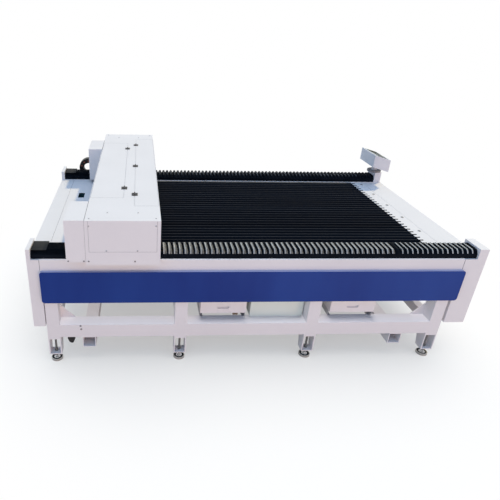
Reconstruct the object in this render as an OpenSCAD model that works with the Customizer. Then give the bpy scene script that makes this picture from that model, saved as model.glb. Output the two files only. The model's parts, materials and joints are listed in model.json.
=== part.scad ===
// Flatbed laser cutting machine: welded steel base, slatted bed, travelling gantry
// with the laser tube inside, bellows over the guide rails and a swivel control box.

/* [Bed and side beams] */
// Overall length over the end covers
machine_l = 3400; // [3000:10:3800]
// Width over the side beams
machine_w = 1950; // [1850:10:2100]
// Height of the side beam tops
deck_z = 913; // [880:1:960]
// Height of a side beam
beam_h = 358; // [320:1:400]
// Depth of a side beam across the machine
beam_d = 190; // [180:1:220]
// Wall of the side beams
beam_wall = 6; // [4:1:10]

/* [Legs and lower frame] */
// Legs on each long side
leg_count = 4; // [4:1:6]
// Width of a leg along the machine
leg_w = 95; // [80:1:110]
// Depth of a leg across the machine
leg_d = 115; // [100:1:130]
// Gap between the left end covers and the first legs
leg_start_gap = 8; // [4:1:15]
// Distance that the second leg stands left of even spacing
second_leg_shift = 32; // [0:1:60]
// Distance of the last leg's middle from the right end cover
leg_end_inset = 70; // [60:1:120]
// Wall of legs, lower beams and cross beams
tube_wall = 5; // [3:1:8]
// Underside of the lower beams
lower_beam_z = 236; // [220:1:260]
// Height of the lower beams
lower_beam_h = 112; // [90:1:130]
// Width of the cross beams between the legs
cross_beam_w = 60; // [50:1:80]
// Height of the cross beams
cross_beam_h = 80; // [60:1:100]
// Side of the triangular corner plates
gusset_side = 110; // [80:1:130]
// Thickness of the corner plates
gusset_t = 8; // [5:1:12]

/* [Feet] */
// Height at which the open foot brackets start below the legs
bracket_top_z = 215; // [205:1:219]
// Underside of a foot bracket's base plate
bracket_base_z = 70; // [60:1:90]
// Depth of a foot bracket at its base plate
bracket_foot_d = 82; // [75:1:100]
// Sheet thickness of the foot brackets
bracket_t = 8; // [6:1:10]
// Diameter of the levelling studs
stud_d = 16; // [12:1:20]
// Height of the stud tops
stud_top_z = 185; // [160:1:200]
// Diameter of the foot pads
pad_d = 90; // [80:1:100]
// Height of the foot pads
pad_h = 28; // [22:1:34]
// Height of a foot pad's boss above its rim
pad_boss_h = 8; // [4:1:12]
// Width of a foot pad's rolled rim
pad_rim_w = 5; // [3:1:8]
// Width of a nut across its corners
nut_d = 28; // [26:1:32]
// Height of a nut
nut_h = 13; // [10:1:16]

/* [Fork pockets] */
// Width of a fork pocket
pocket_w = 100; // [80:1:130]
// Height of a fork pocket
pocket_h = 95; // [80:1:110]
// Wall of a fork pocket
pocket_wall = 5; // [3:1:8]
// Distance of the left fork pocket's middle from the first leg's middle
pocket_left_inset = 266; // [200:1:320]
// Distance of the right fork pocket's middle from the last leg's middle
pocket_right_inset = 300; // [200:1:340]

/* [Covers and panels] */
// Width of the left end covers
left_cover_w = 88; // [75:1:110]
// Width of the right end covers
right_cover_w = 163; // [145:1:185]
// Underside of the end covers
cover_z = 341; // [320:1:380]
// Depth of an end cover below the side beam
skirt_d = 60; // [50:1:80]
// Height of the raised bellows stops above the deck
stop_h = 81; // [70:1:95]
// Length of the left stops along the machine
left_stop_l = 29; // [22:1:40]
// Length of the near right stop along the machine
right_stop_l = 70; // [60:1:85]
// Sheet thickness of covers and table sheets
sheet_t = 3; // [2:1:5]
// Height of the coloured side panels
panel_h = 262; // [220:1:300]
// Gap between a side panel and the underside of its beam
panel_rise = 9; // [4:1:20]
// How far a side panel stands proud of its beam
panel_proud = 25; // [15:1:35]
// Distance a side panel laps over the left end cover
panel_left_lap = 3; // [0:1:30]
// Distance a side panel laps over the right end cover
panel_right_lap = 20; // [0:1:40]
// Corner radius of the side panels
panel_r = 22; // [10:1:35]

/* [Slatted bed] */
// Distance between slats
slat_pitch = 53; // [40:1:60]
// Least distance between the slats and a side beam
slat_side_gap = 34; // [25:1:60]
// Width of a slat at its foot
slat_w = 16; // [10:1:22]
// Width of a slat at its supporting edge
slat_edge_w = 5; // [3:1:8]
// Height of a slat
slat_h = 36; // [30:1:40]
// Right end of the slats, from the right end of the machine
slat_right_inset = 305; // [280:1:340]
// Left end of the slats, from the left end of the machine
slat_left_inset = 440; // [400:1:480]
// Depth of the table sheets below the deck
sheet_drop = 4; // [2:1:8]
// Length of the notches in the table sheets that hold the slat ends
notch_l = 30; // [15:1:45]
// Height of the tubes that carry the bed
bearer_h = 60; // [50:1:80]
// Tubes that carry the bed
bearer_count = 5; // [4:1:7]

/* [Rails and bellows] */
// Distance of a bellows from the outer face of its beam
bellows_inset = 17; // [10:1:25]
// Width of a bellows
bellows_w = 163; // [150:1:170]
// Height of a bellows
bellows_h = 66; // [58:1:72]
// Depth of the bellows folds
fold_h = 17; // [10:1:20]
// Wall of the bellows skirts
bellows_wall = 12; // [8:1:16]
// Distance between the folds of the open bellows
open_fold = 39; // [30:1:50]
// Distance between the folds of the closed bellows
closed_fold = 16; // [12:1:24]
// Length of a bellows end frame
bellows_frame_l = 14; // [10:1:20]
// Gap between a bellows and what it butts against
bellows_gap = 0.3; // [0.2:0.1:0.8]
// Width of a guide rail
rail_w = 25; // [20:1:30]
// Height of a guide rail
rail_h = 22; // [18:1:25]

/* [Gantry] */
// Left face of the gantry housing, from the left end of the machine
gantry_left_inset = 430; // [425:1:460]
// Width of the gantry housing along the machine
gantry_w = 515; // [480:1:560]
// Overhang of the housing past the near side beam
gantry_near_over = 90; // [80:1:110]
// Overhang of the housing past the far side beam
gantry_far_over = 365; // [300:1:420]
// Gap between the deck and the ends of the housing
gantry_gap = 6; // [4:1:12]
// Height of the housing's ends
gantry_h = 336; // [300:1:380]
// Clearance under the housing sides for the material
work_gap = 62; // [50:1:70]
// Sheet thickness of the housing
housing_t = 3; // [2:1:4]
// Width of a drive cover along the machine
drive_cover_w = 135; // [120:1:160]
// Depth of a drive cover across the machine
drive_cover_d = 354; // [320:1:380]
// Underside of the drive covers
drive_cover_z = 941; // [936:1:960]
// Height of the carriage blocks on the rails
carriage_h = 44; // [40:1:50]

/* [Lids] */
// Width of the left lid
left_lid_w = 245; // [220:1:250]
// Length of the left lid
left_lid_l = 1590; // [1400:1:1700]
// Distance of the lids' middle from the middle of the housing
lid_shift = 27; // [0:1:40]
// Width of the right lid
right_lid_w = 176; // [160:1:180]
// Distance that the right lid reaches past each end of the left lid
right_lid_over = 162; // [120:1:200]
// Distance of the lids from the sides of the housing
lid_edge = 5; // [4:1:8]
// Gap around a lid
lid_gap = 1.5; // [1:0.5:3]
// Height of the hinge pins above the lids
hinge_rise = 6; // [5:1:9]
// Diameter of the hinge knuckles
knuckle_d = 10; // [8:1:11]
// Diameter of the hinge pins
hinge_pin_d = 5; // [4:1:6]

/* [Laser and head] */
// Diameter of the laser tube
tube_d = 80; // [60:1:90]
// Length of the laser tube
tube_l = 1850; // [1600:10:1900]
// Diameter of the cutting head
head_d = 58; // [50:1:64]
// Travel of the cutting head to each side
head_travel = 620; // [500:10:640]
// Lift of the cutting head
head_lift = 45; // [30:1:48]

/* [Control box] */
// Size of the control post along the machine
post_l = 68; // [60:1:90]
// Size of the control post across the machine
post_d = 170; // [150:1:190]
// Height of the control post
post_h = 108; // [90:1:130]
// Distance of the post's right face from the right end of the machine
post_inset = 12; // [8:1:40]
// Distance of the swivel's middle from the post's middle, along and across the machine
swivel_shift = 27; // [0:1:30]
// Diameter of the swivel plate
swivel_d = 140; // [110:1:150]
// Thickness of the swivel plate
swivel_t = 18; // [12:1:24]
// Depth of the control box along the machine
control_l = 174; // [150:1:176]
// Width of the control box across the machine
control_w = 327; // [300:1:380]
// Height of the control box
control_h = 124; // [100:1:140]
// Slope of the control box
control_slope = 16; // [8:1:20]
// Distance of the control box's middle from the swivel's middle
control_shift = 15; // [0:1:20]
// Height of the middle of the control box's underside above the swivel plate
control_lift = 46; // [38:1:60]

/* [Drawers] */
// Width of a drawer
drawer_w = 361; // [330:1:380]
// Depth of a drawer
drawer_d = 430; // [380:1:480]
// Height of a drawer
drawer_h = 118; // [100:1:130]
// Underside of the drawers above the lower beams
drawer_rise = 49; // [30:1:60]
// Sheet thickness of the drawers
drawer_t = 2; // [1.5:0.5:3]
// Left face of each drawer, from the leg on its left
drawer_offset = 157; // [120:1:170]
// Drawer front behind the face of the side beam
drawer_inset = 75; // [60:1:85]

/* [Cable chain] */
// Outer radius of the cable chain's bend
chain_r = 98; // [80:1:110]
// Distance of the cable chain's bend from the far drive cover
chain_reach = 37; // [20:1:60]
// Thickness of the cable chain
chain_t = 46; // [36:1:50]
// Width of the cable chain
chain_w = 70; // [50:1:80]

/* [Hidden] */

white = "#dcd8da";
blue = "#30427f";
black = "#1b1d22";
steel = "#9a9c9f";
$fn = 48;
eps = 0.5;
bevel = 3;
fit_gap = 0.3;

end_x = machine_l / 2;
side_y = machine_w / 2;
beam_in_y = side_y - beam_d;
beam_z = deck_z - beam_h;
beam_x0 = left_cover_w - end_x;
beam_x1 = end_x - right_cover_w;

leg_first_x = beam_x0 + leg_start_gap + leg_w / 2;
leg_last_x = beam_x1 - leg_end_inset;
leg_pitch = (leg_last_x - leg_first_x) / (leg_count - 1);
leg_xs = [for (i = [0:leg_count - 1]) leg_first_x + i * leg_pitch - (i == 1 ? second_leg_shift : 0)];
leg_in_y = side_y - leg_d;
lower_beam_top = lower_beam_z + lower_beam_h;
cross_beam_z = lower_beam_top - cross_beam_h;
pocket_xs = [leg_first_x + pocket_left_inset, leg_last_x - pocket_right_inset];
weld_gap = 0.3;
stud_y = side_y - bracket_foot_d / 2;
stud_clear = 0.5;
pad_side_h = pad_h - pad_boss_h;

table_z = deck_z - sheet_drop;
slat_x0 = slat_left_inset - end_x;
slat_x1 = end_x - slat_right_inset;
slat_count = 1 + floor((2 * (beam_in_y - slat_side_gap) - slat_w) / slat_pitch);
slat_field = (slat_count - 1) * slat_pitch + slat_w;
slat_ys = [for (i = [0:slat_count - 1]) (i - (slat_count - 1) / 2) * slat_pitch];
strip_lip = 10;
slat_z = deck_z - slat_h;
slat_foot_h = 14;
tray_h = 40;
comb_h = 14;
comb_w = 30;
comb_z = slat_z - comb_h;
bearer_z = comb_z - bearer_h;
bearer_pitch = (slat_x1 - slat_x0 - comb_w) / (bearer_count - 1);
bearer_xs = [for (i = [0:bearer_count - 1]) slat_x0 + comb_w / 2 + i * bearer_pitch];
screw_count = 5;
screw_inset = 63;
screw_near_inset = 325;
screw_far_inset = 69;
screw_pitch = (2 * beam_in_y - screw_near_inset - screw_far_inset) / (screw_count - 1);
screw_head_d = 20;
screw_head_h = 6;
fold_inset = 95;
left_fold_inset = 123;
line_w = 2;
line_d = 1;
port_x = 219;
port_y = 275;
port_l = 56;
port_w = 128;

gantry_x0 = gantry_left_inset - end_x;
gantry_x1 = gantry_x0 + gantry_w;
gantry_near = -side_y - gantry_near_over;
gantry_far = side_y + gantry_far_over;
gantry_z = deck_z + gantry_gap;
gantry_top_z = gantry_z + gantry_h;
housing_side_z = deck_z + work_gap;
cover_x0 = gantry_x0 - drive_cover_w;
row_y = -(gantry_near + gantry_far) / 2;

bellows_y = -side_y + bellows_inset;
bellows_roof = 3;
rail_y = bellows_y + bellows_w / 2;
left_stop_x = left_stop_l - end_x;
right_stop_x = end_x - right_stop_l;
post_x1 = end_x - post_inset;
post_x = post_x1 - post_l / 2;
post_y = -bellows_y - post_d / 2;
post_z = deck_z + post_h;
swivel_x = post_x - swivel_shift;
swivel_y = post_y - swivel_shift;
rail_x0 = left_stop_x + bellows_frame_l;
rail_x1 = post_x1 - post_l - bellows_frame_l;
rail_top = deck_z + rail_h;

carriage_l = 90;
carriage_w = 60;
carriage_rise = 4;
carriage_inset = 90;
carriage_xs = [gantry_x0 + carriage_inset, gantry_x1 - carriage_inset];
carriage_top = deck_z + carriage_rise + carriage_h;
saddle_t = 16;
gantry_beam_inset = 90;
roof_gap = 24;
tube_rise = 12;
clamp_w = 36;
clamp_t = 8;
ledge_t = 2;
gantry_beam_z = carriage_top + saddle_t;
gantry_beam_top = gantry_top_z - housing_t - ledge_t - roof_gap - tube_d - clamp_t - tube_rise;
gantry_beam_s = gantry_beam_top - gantry_beam_z;
gantry_beam_x = gantry_x0 + gantry_beam_inset + gantry_beam_s / 2;
gantry_beam_x1 = gantry_beam_x + gantry_beam_s / 2;
head_rail_w = 20;
head_rail_t = 16;
head_rail_share = 0.6;
head_rail_z = gantry_beam_z + gantry_beam_s * head_rail_share;
head_rail_spare = 160;
head_rail_l = 2 * head_travel + head_rail_spare;
head_reach = 88;
head_x = gantry_beam_x1 + head_reach;
head_block_t = 12;
head_plate_x = gantry_beam_x1 + head_rail_t + head_block_t;
focus_gap = 21;
nozzle_z = deck_z + head_lift + focus_gap;
head_top_rise = 30;
head_top_z = gantry_beam_top + head_top_rise;
tube_shift = 30;
tube_cap_l = 30;
tube_cap_d = 48;
clamp_shares = [0.1, 0.5, 0.9];
tube_x = gantry_beam_x - tube_shift;
tube_near_inset = 465;
tube_y0 = gantry_near + tube_near_inset;
tube_z = gantry_beam_top + tube_rise + tube_d / 2;

left_lid_x0 = gantry_x0 + lid_edge;
left_lid_x1 = left_lid_x0 + left_lid_w;
lid_y = (gantry_near + gantry_far) / 2 + lid_shift;
left_lid_y0 = lid_y - left_lid_l / 2;
right_lid_x1 = gantry_x1 - lid_edge;
right_lid_x0 = right_lid_x1 - right_lid_w;
right_lid_l = left_lid_l + 2 * right_lid_over;
right_lid_y0 = lid_y - right_lid_l / 2;
hinge_z = gantry_top_z + hinge_rise;
hinge_l = 60;
leaf_t = 2;
leaf_w = 22;
left_hinge_inset = 211;
right_hinge_inset = 233;
left_hinge_ys = [left_lid_y0 + left_hinge_inset, left_lid_y0 + left_lid_l - left_hinge_inset];
right_hinge_ys = [for (s = [-1:1]) lid_y + s * (right_lid_l / 2 - right_hinge_inset)];

control_x = swivel_x - control_shift;
control_z = post_z + swivel_t + control_lift;
control_rise = control_l / 2 * tan(control_slope);
neck_d = 56;

drawer_z = lower_beam_top + drawer_rise;
drawer_y = -side_y + drawer_inset;
drawer_xs = [for (i = [1:2]) leg_xs[i] + drawer_offset];
runner_w = 24;
runner_t = 2;
handle_w = 92;
handle_h = 26;
handle_d = 16;
hood_gap = 48;
hood_w = 58;
hood_d = 46;
hood_h = 76;
hood_side_h = 42;
hood_slope_w = 14;
lever_w = 34;
lever_h = 12;
gland_d = 24;
gland_l = 15;
supply_gap = 40;
supply_end_gap = 10;
supply_back = 20;
shelf_inset = 50;
shelf_y = side_y - drawer_inset - drawer_d + shelf_inset;
shelf_w = 40;
side_clear = 10;
beam_end_gap = 50;
ledge_w = 12;
motor_s = 86;
motor_h = 120;
motor_cap_d = 70;
motor_plate_t = 8;
motor_shaft_d = 19;
motor_shaft_l = 30;
pin_clear = 0.05;
head_block_w = 90;
head_block_h = 48;
head_plate_w = 120;
head_plate_h = 130;
head_plate_t = 8;
nozzle_r = 4;
nozzle_tip_h = 9;
nozzle_top_h = 46;
lens_r = 22;
lens_h = 70;
panel_edge = 18;
key_rows = 3;
key_columns = 4;
key_s = 22;
key_t = 1.5;
display_l_share = 0.8;
display_w_share = 0.44;
handle_z = 40;

chain_gap = 10;
chain_y = side_y + chain_gap;
chain_link = 44;
groove_w = 4;
trough_drop = 84;
trough_z = deck_z - trough_drop;
trough_t = 2;
trough_wall = 40;
trough_clear = 10;
trough_spare = 30;
chain_x = cover_x0 - chain_reach;
trough_x0 = chain_x - chain_r - trough_spare;
chain_run_z = trough_z + trough_t;
loop_gap = 2;
loop_z = chain_run_z + chain_t + loop_gap;
plate_edge = 24;
plate_rise = 102;

// A box between two opposite corners.
module box(low, high) {
  translate(low) cube(high - low);
}

// A rectangular tube between two corners, open along one axis.
module rect_tube(low, high, axis, wall) {
  inset = [for (i = [0:2]) i == axis ? -eps : wall];
  difference() {
    box(low, high);
    box(low + inset, high - inset);
  }
}

// The drawn shape, and its copy on the far side.
module both_sides() {
  children();
  mirror([0, 1, 0]) children();
}

// Moves the machine so that the middle of its outline lies on the origin.
module placed() {
  translate([0, row_y, 0]) children();
}

// A profile drawn across (Y) and up (Z), carried along the machine (X).
module along_x(x0, x1) {
  translate([x0, 0, 0]) rotate([90, 0, 90]) linear_extrude(x1 - x0) children();
}

// A profile drawn along (X) and up (Z), carried across the machine (Y).
module along_y(y0, y1) {
  translate([0, y1, 0]) rotate([90, 0, 0]) linear_extrude(y1 - y0) children();
}

// A rectangle with round corners.
module round_rect(low, high, r) {
  translate([low.x + r, low.y]) square([high.x - low.x - 2 * r, high.y - low.y]);
  translate([low.x, low.y + r]) square([high.x - low.x, high.y - low.y - 2 * r]);
  for (x = [low.x + r, high.x - r], y = [low.y + r, high.y - r])
    translate([x, y]) circle(r);
}

// Hollow beam under the near rail.
module side_beam() {
  rect_tube([beam_x0, -side_y, beam_z], [beam_x1, -beam_in_y, deck_z], 0, beam_wall);
}

module near_side_beam() {
  color(white) placed() side_beam();
}

module far_side_beam() {
  color(white) placed() mirror([0, 1, 0]) side_beam();
}

module legs() {
  color(white) placed() both_sides() for (x = leg_xs)
    rect_tube([x - leg_w / 2, -side_y, bracket_top_z], [x + leg_w / 2, -leg_in_y, beam_z], 2, tube_wall);
}

module lower_beams() {
  color(white) placed() both_sides() for (i = [0:leg_count - 2])
    rect_tube(
      [leg_xs[i] + leg_w / 2, -side_y, lower_beam_z],
      [leg_xs[i + 1] - leg_w / 2, -leg_in_y, lower_beam_top], 0, tube_wall);
}

module cross_beams() {
  color(white) placed() {
    for (x = leg_xs)
      rect_tube(
        [x - cross_beam_w / 2, -leg_in_y, cross_beam_z],
        [x + cross_beam_w / 2, leg_in_y, lower_beam_top], 1, tube_wall);
    shelf_bars();
  }
}

// Bars between the cross beams that carry the drawers' runners and the supply box.
module shelf_bars() {
  for (i = [1:2])
    rect_tube(
      [leg_xs[i] + cross_beam_w / 2 + weld_gap, -shelf_y - shelf_w / 2, cross_beam_z],
      [leg_xs[i + 1] - cross_beam_w / 2 - weld_gap, shelf_w / 2 - shelf_y, lower_beam_top], 0, tube_wall);
}

// Triangular plates between the end legs and the tops of the lower beams.
module corner_gussets() {
  plate_y = -leg_in_y - gusset_t;
  color(white) placed() both_sides() {
    along_y(plate_y, plate_y + gusset_t) translate([leg_first_x + leg_w / 2, lower_beam_top])
      polygon([[0, 0], [gusset_side, 0], [0, gusset_side]]);
    along_y(plate_y, plate_y + gusset_t) translate([leg_last_x - leg_w / 2, lower_beam_top])
      polygon([[0, 0], [-gusset_side, 0], [0, gusset_side]]);
  }
}

// Through tubes under the lower beams for a lift truck's forks.
module fork_pockets() {
  color(white) placed() for (x = pocket_xs)
    rect_tube(
      [x - pocket_w / 2, -side_y, lower_beam_z - pocket_h],
      [x + pocket_w / 2, side_y, lower_beam_z], 1, pocket_wall);
}

// Cheeks that taper towards the base plate, with the front left open.
module foot_bracket(x) {
  cheek = [
    [-side_y, bracket_base_z], [-side_y, bracket_top_z], [-leg_in_y, bracket_top_z],
    [-leg_in_y, bracket_top_z - bracket_t], [bracket_foot_d - side_y, bracket_base_z]
  ];
  difference() {
    union() {
      for (x0 = [x - leg_w / 2, x + leg_w / 2 - bracket_t])
        along_x(x0, x0 + bracket_t) polygon(cheek);
      box([x - leg_w / 2, -side_y, bracket_base_z],
          [x + leg_w / 2, bracket_foot_d - side_y, bracket_base_z + bracket_t]);
    }
    translate([x, -stud_y, bracket_base_z - eps])
      cylinder(d = stud_d + 2 * stud_clear, h = bracket_t + 2 * eps);
  }
}

module foot_brackets() {
  color(white) placed() both_sides() for (x = leg_xs) foot_bracket(x);
}

// Threaded studs with a lock nut above and below the base plate.
module foot_studs() {
  color(steel) placed() both_sides() for (x = leg_xs) translate([x, -stud_y, 0]) {
    translate([0, 0, pad_h]) cylinder(d = stud_d, h = stud_top_z - pad_h);
    for (z = [bracket_base_z - nut_h, bracket_base_z + bracket_t])
      translate([0, 0, z]) cylinder(d = nut_d, h = nut_h, $fn = 6);
  }
}

// Round pads: a pressed steel cup with a rolled rim, dished around the boss that carries the stud.
module foot_pads() {
  rim_r = pad_d / 2 - pad_rim_w;
  dish_z = pad_side_h - bevel;
  color("#4a4c50") placed() both_sides() for (x = leg_xs) translate([x, -stud_y, 0])
    rotate_extrude() polygon([
      [0, 0], [pad_d / 2 - bevel, 0], [pad_d / 2, bevel], [pad_d / 2, pad_side_h - line_w],
      [pad_d / 2 - line_w, pad_side_h], [rim_r, pad_side_h], [rim_r - bevel, dish_z],
      [stud_d, dish_z], [stud_d - bevel, pad_h], [0, pad_h]
    ]);
}

// Formed tray that faces the side beam.
module side_panel() {
  x0 = beam_x0 - panel_left_lap;
  x1 = beam_x1 + panel_right_lap;
  z0 = beam_z + panel_rise;
  difference() {
    along_y(-side_y - panel_proud, -side_y)
      round_rect([x0, z0], [x1, z0 + panel_h], panel_r);
    along_y(-side_y - panel_proud + sheet_t, -side_y + eps)
      round_rect([x0 + sheet_t, z0 + sheet_t], [x1 - sheet_t, z0 + panel_h - sheet_t], panel_r - sheet_t);
  }
}

module near_side_panel() {
  color(blue) placed() side_panel();
}

module far_side_panel() {
  color(blue) placed() mirror([0, 1, 0]) side_panel();
}

// Folded cover: a case over the beam's end, open towards it, with a closed skirt below.
module end_cover(width) {
  t = sheet_t;
  difference() {
    union() {
      box([-width, -side_y, beam_z], [0, -beam_in_y, deck_z]);
      box([-width, -side_y, cover_z], [0, skirt_d - side_y, deck_z]);
    }
    box([-width - eps, t - side_y, beam_z + t], [-t, -beam_in_y - t, deck_z - t]);
    box([t - width, t - side_y, cover_z + t], [-t, skirt_d - side_y - t, deck_z - t]);
  }
}

// Raised block on an end cover that the bellows is fixed to, flush with the cover's face.
module bellows_stop(length) {
  box([-length, -side_y, deck_z], [0, -beam_in_y, deck_z + stop_h]);
}

// The left cover with its stop, drawn from the left end of the machine.
module left_cover() {
  translate([-end_x, 0, 0]) mirror([1, 0, 0]) {
    end_cover(left_cover_w);
    bellows_stop(left_stop_l);
  }
}

module near_left_cover() {
  color(white) placed() left_cover();
}

module far_left_cover() {
  color(white) placed() mirror([0, 1, 0]) left_cover();
}

module near_right_cover() {
  color(white) placed() translate([end_x, 0, 0]) {
    end_cover(right_cover_w);
    bellows_stop(right_stop_l);
  }
}

module far_right_cover() {
  color(white) placed() mirror([0, 1, 0]) translate([end_x, 0, 0]) end_cover(right_cover_w);
}

// Sheet between the end covers, folded inwards along its edges.
module end_panel() {
  difference() {
    box([end_x - skirt_d, -beam_in_y, cover_z], [end_x, beam_in_y, table_z - sheet_t]);
    box([end_x - skirt_d - eps, sheet_t - beam_in_y, cover_z + sheet_t],
        [end_x - sheet_t, beam_in_y - sheet_t, table_z + eps]);
  }
}

module left_end_panel() {
  color(white) placed() mirror([1, 0, 0]) end_panel();
}

module right_end_panel() {
  color(white) placed() end_panel();
}

// Sheet beside the slats, with the line of its fold and a notch for each slat end.
module table_sheet(x0, x1, fold_x) {
  half = slat_w / 2 + fit_gap;
  difference() {
    box([x0, -beam_in_y, table_z - sheet_t], [x1, beam_in_y, table_z]);
    box([fold_x, -beam_in_y - eps, table_z - line_d],
        [fold_x + line_w, beam_in_y + eps, table_z + eps]);
    for (y = slat_ys)
      box([slat_x0 - fit_gap, y - half, table_z - sheet_t - eps],
          [slat_x1 + fit_gap, y + half, table_z + eps]);
  }
}

// Left sheet with an inspection port.
module left_table_sheet() {
  color(white) placed() difference() {
    table_sheet(-end_x, slat_x0 + notch_l, left_fold_inset - end_x);
    box([port_x - end_x, port_y, table_z - sheet_t - eps],
        [port_x + port_l - end_x, port_y + port_w, table_z + eps]);
  }
}

module right_table_sheet() {
  color(white) placed() table_sheet(slat_x1 - notch_l, end_x, slat_x1 + fold_inset);
}

// Button-head screws that hold the right table sheet.
module table_screws() {
  color(steel) placed() for (i = [0:screw_count - 1])
    translate([slat_x1 + screw_inset, screw_near_inset - beam_in_y + i * screw_pitch, table_z])
      rotate_extrude() polygon([
        [0, 0], [screw_head_d / 2, 0], [screw_head_d / 2, screw_head_h / 2],
        [screw_head_d / 4, screw_head_h], [0, screw_head_h]
      ]);
}

// Narrow sheets beside the slats.
module bed_strips() {
  color(white) placed() both_sides()
    box([slat_x0 + notch_l, -beam_in_y, table_z - sheet_t],
        [slat_x1 - notch_l, -slat_field / 2 - strip_lip, table_z]);
}

// Cross tubes between the side beams that carry the slats.
module bed_bearers() {
  color(white) placed() for (x = bearer_xs)
    rect_tube(
      [x - bearer_h / 2, -beam_in_y, bearer_z],
      [x + bearer_h / 2, beam_in_y, comb_z], 1, tube_wall);
}

// Sheet under the cross tubes that catches what falls between the slats.
module scrap_tray() {
  color("#3c3e43") placed() difference() {
    box([slat_x0, -beam_in_y, bearer_z - tray_h], [slat_x1, beam_in_y, bearer_z]);
    box([slat_x0 + sheet_t, sheet_t - beam_in_y, bearer_z - tray_h + sheet_t],
        [slat_x1 - sheet_t, beam_in_y - sheet_t, bearer_z + eps]);
  }
}

// Bars on the cross tubes that the slats stand on.
module slat_combs() {
  color(steel) placed() for (x = bearer_xs)
    box([x - comb_w / 2, -slat_field / 2, comb_z], [x + comb_w / 2, slat_field / 2, slat_z]);
}

// Blade-shaped slats with a narrow supporting edge.
module bed_slats() {
  profile = [
    [-slat_w / 2, 0], [slat_w / 2, 0], [slat_w / 2, slat_foot_h],
    [slat_edge_w / 2, slat_h], [-slat_edge_w / 2, slat_h], [-slat_w / 2, slat_foot_h]
  ];
  color(black) placed() for (y = slat_ys)
    translate([0, y, slat_z]) along_x(slat_x0, slat_x1) polygon(profile);
}

module guide_rails() {
  color(steel) placed() both_sides()
    box([rail_x0, rail_y - rail_w / 2, deck_z], [rail_x1, rail_y + rail_w / 2, rail_top]);
}

// Folded cover over a rail: an inverted trough with a frame at each end.
module bellows(x0, x1, fold) {
  top = deck_z + bellows_h;
  folded_l = x1 - x0 - 2 * bellows_frame_l;
  count = max(1, round(folded_l / fold));
  pitch = folded_l / count;
  start = x0 + bellows_frame_l;
  ridge = [for (i = [0:count - 1], j = [0:1])
    [start + (i + 0.5 * j) * pitch, j == 0 ? top - fold_h : top]];
  outline = concat(
    [[x0, deck_z], [x0, top], [start, top]], ridge,
    [[start + folded_l, top - fold_h], [start + folded_l, top], [x1, top], [x1, deck_z]]);
  difference() {
    along_y(bellows_y, bellows_y + bellows_w) polygon(outline);
    box([x0 - eps, bellows_y + bellows_wall, deck_z - eps],
        [x1 + eps, bellows_y + bellows_w - bellows_wall, top - fold_h - bellows_roof]);
  }
}

module near_right_bellows() {
  color(black) placed() bellows(gantry_x1 + bellows_gap, right_stop_x - bellows_gap, open_fold);
}

module far_right_bellows() {
  color(black) placed() mirror([0, 1, 0])
    bellows(gantry_x1 + bellows_gap, post_x1 - post_l - bellows_gap, open_fold);
}

module near_left_bellows() {
  color(black) placed() bellows(left_stop_x + bellows_gap, cover_x0 - bellows_gap, closed_fold);
}

module far_left_bellows() {
  color(black) placed() mirror([0, 1, 0])
    bellows(left_stop_x + bellows_gap, cover_x0 - bellows_gap, closed_fold);
}

// Sheet trough along the far side beam for the cable chain.
module cable_trough() {
  y1 = chain_y + chain_w + trough_clear;
  color(white) placed() difference() {
    box([trough_x0, side_y, trough_z], [beam_x1 / 2, y1, trough_z + trough_wall]);
    box([trough_x0 - eps, side_y + trough_t, trough_z + trough_t],
        [beam_x1 / 2 + eps, y1 - trough_t, trough_z + trough_wall + eps]);
  }
}

// Row of chain links laid in the trough.
module cable_chain_run() {
  run_x0 = trough_x0 + chain_link;
  count = round((beam_x1 / 2 - run_x0) / chain_link);
  link = (beam_x1 / 2 - run_x0) / count;
  low_z = chain_run_z + chain_t - bevel;
  color(black) placed() {
    box([run_x0, chain_y, chain_run_z], [beam_x1 / 2, chain_y + chain_w, low_z]);
    for (i = [0:2:count - 1])
      box([run_x0 + i * link, chain_y, low_z - eps],
          [run_x0 + (i + 1) * link, chain_y + chain_w, low_z + bevel]);
  }
}

// Bend of the cable chain, from the far drive cover down to the trough, grooved between its links.
module cable_chain_loop() {
  count = round(PI * (chain_r - chain_t / 2) / chain_link);
  inner_r = chain_r - chain_t;
  color(black) placed() along_y(chain_y, chain_y + chain_w) translate([chain_x, loop_z + chain_r])
    difference() {
      union() {
        intersection() {
          difference() {
            circle(chain_r);
            circle(inner_r);
          }
          translate([-chain_r, -chain_r]) square([chain_r, 2 * chain_r]);
        }
        translate([-eps, inner_r]) square([chain_reach + eps, chain_t]);
      }
      for (i = [0:count - 1]) rotate(90 + i * 180 / count) {
        translate([chain_r - bevel, -groove_w / 2]) square([2 * bevel, groove_w]);
        translate([inner_r - bevel, -groove_w / 2]) square([2 * bevel, groove_w]);
      }
    }
}

// Heavy connector hood under the near lower beam, with its locking lever and gland.
module power_connector() {
  x = leg_first_x + leg_w / 2 + hood_gap;
  y = -side_y + leg_d / 2;
  z = lower_beam_z;
  color(black) placed() {
    along_y(y - hood_d / 2, y + hood_d / 2) translate([x, z]) polygon([
      [0, 0], [hood_w, 0], [hood_w, -hood_side_h], [hood_w - hood_slope_w, -hood_h],
      [hood_slope_w, -hood_h], [0, -hood_side_h]
    ]);
    translate([x + hood_w / 2, y, z - hood_h - gland_l]) cylinder(d = gland_d, h = gland_l + eps);
    along_y(y - hood_d / 2 - bevel, y + hood_d / 2 + bevel)
      translate([x + (hood_w - lever_w) / 2, z - hood_h / 2]) square([lever_w, lever_h]);
  }
}

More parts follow.
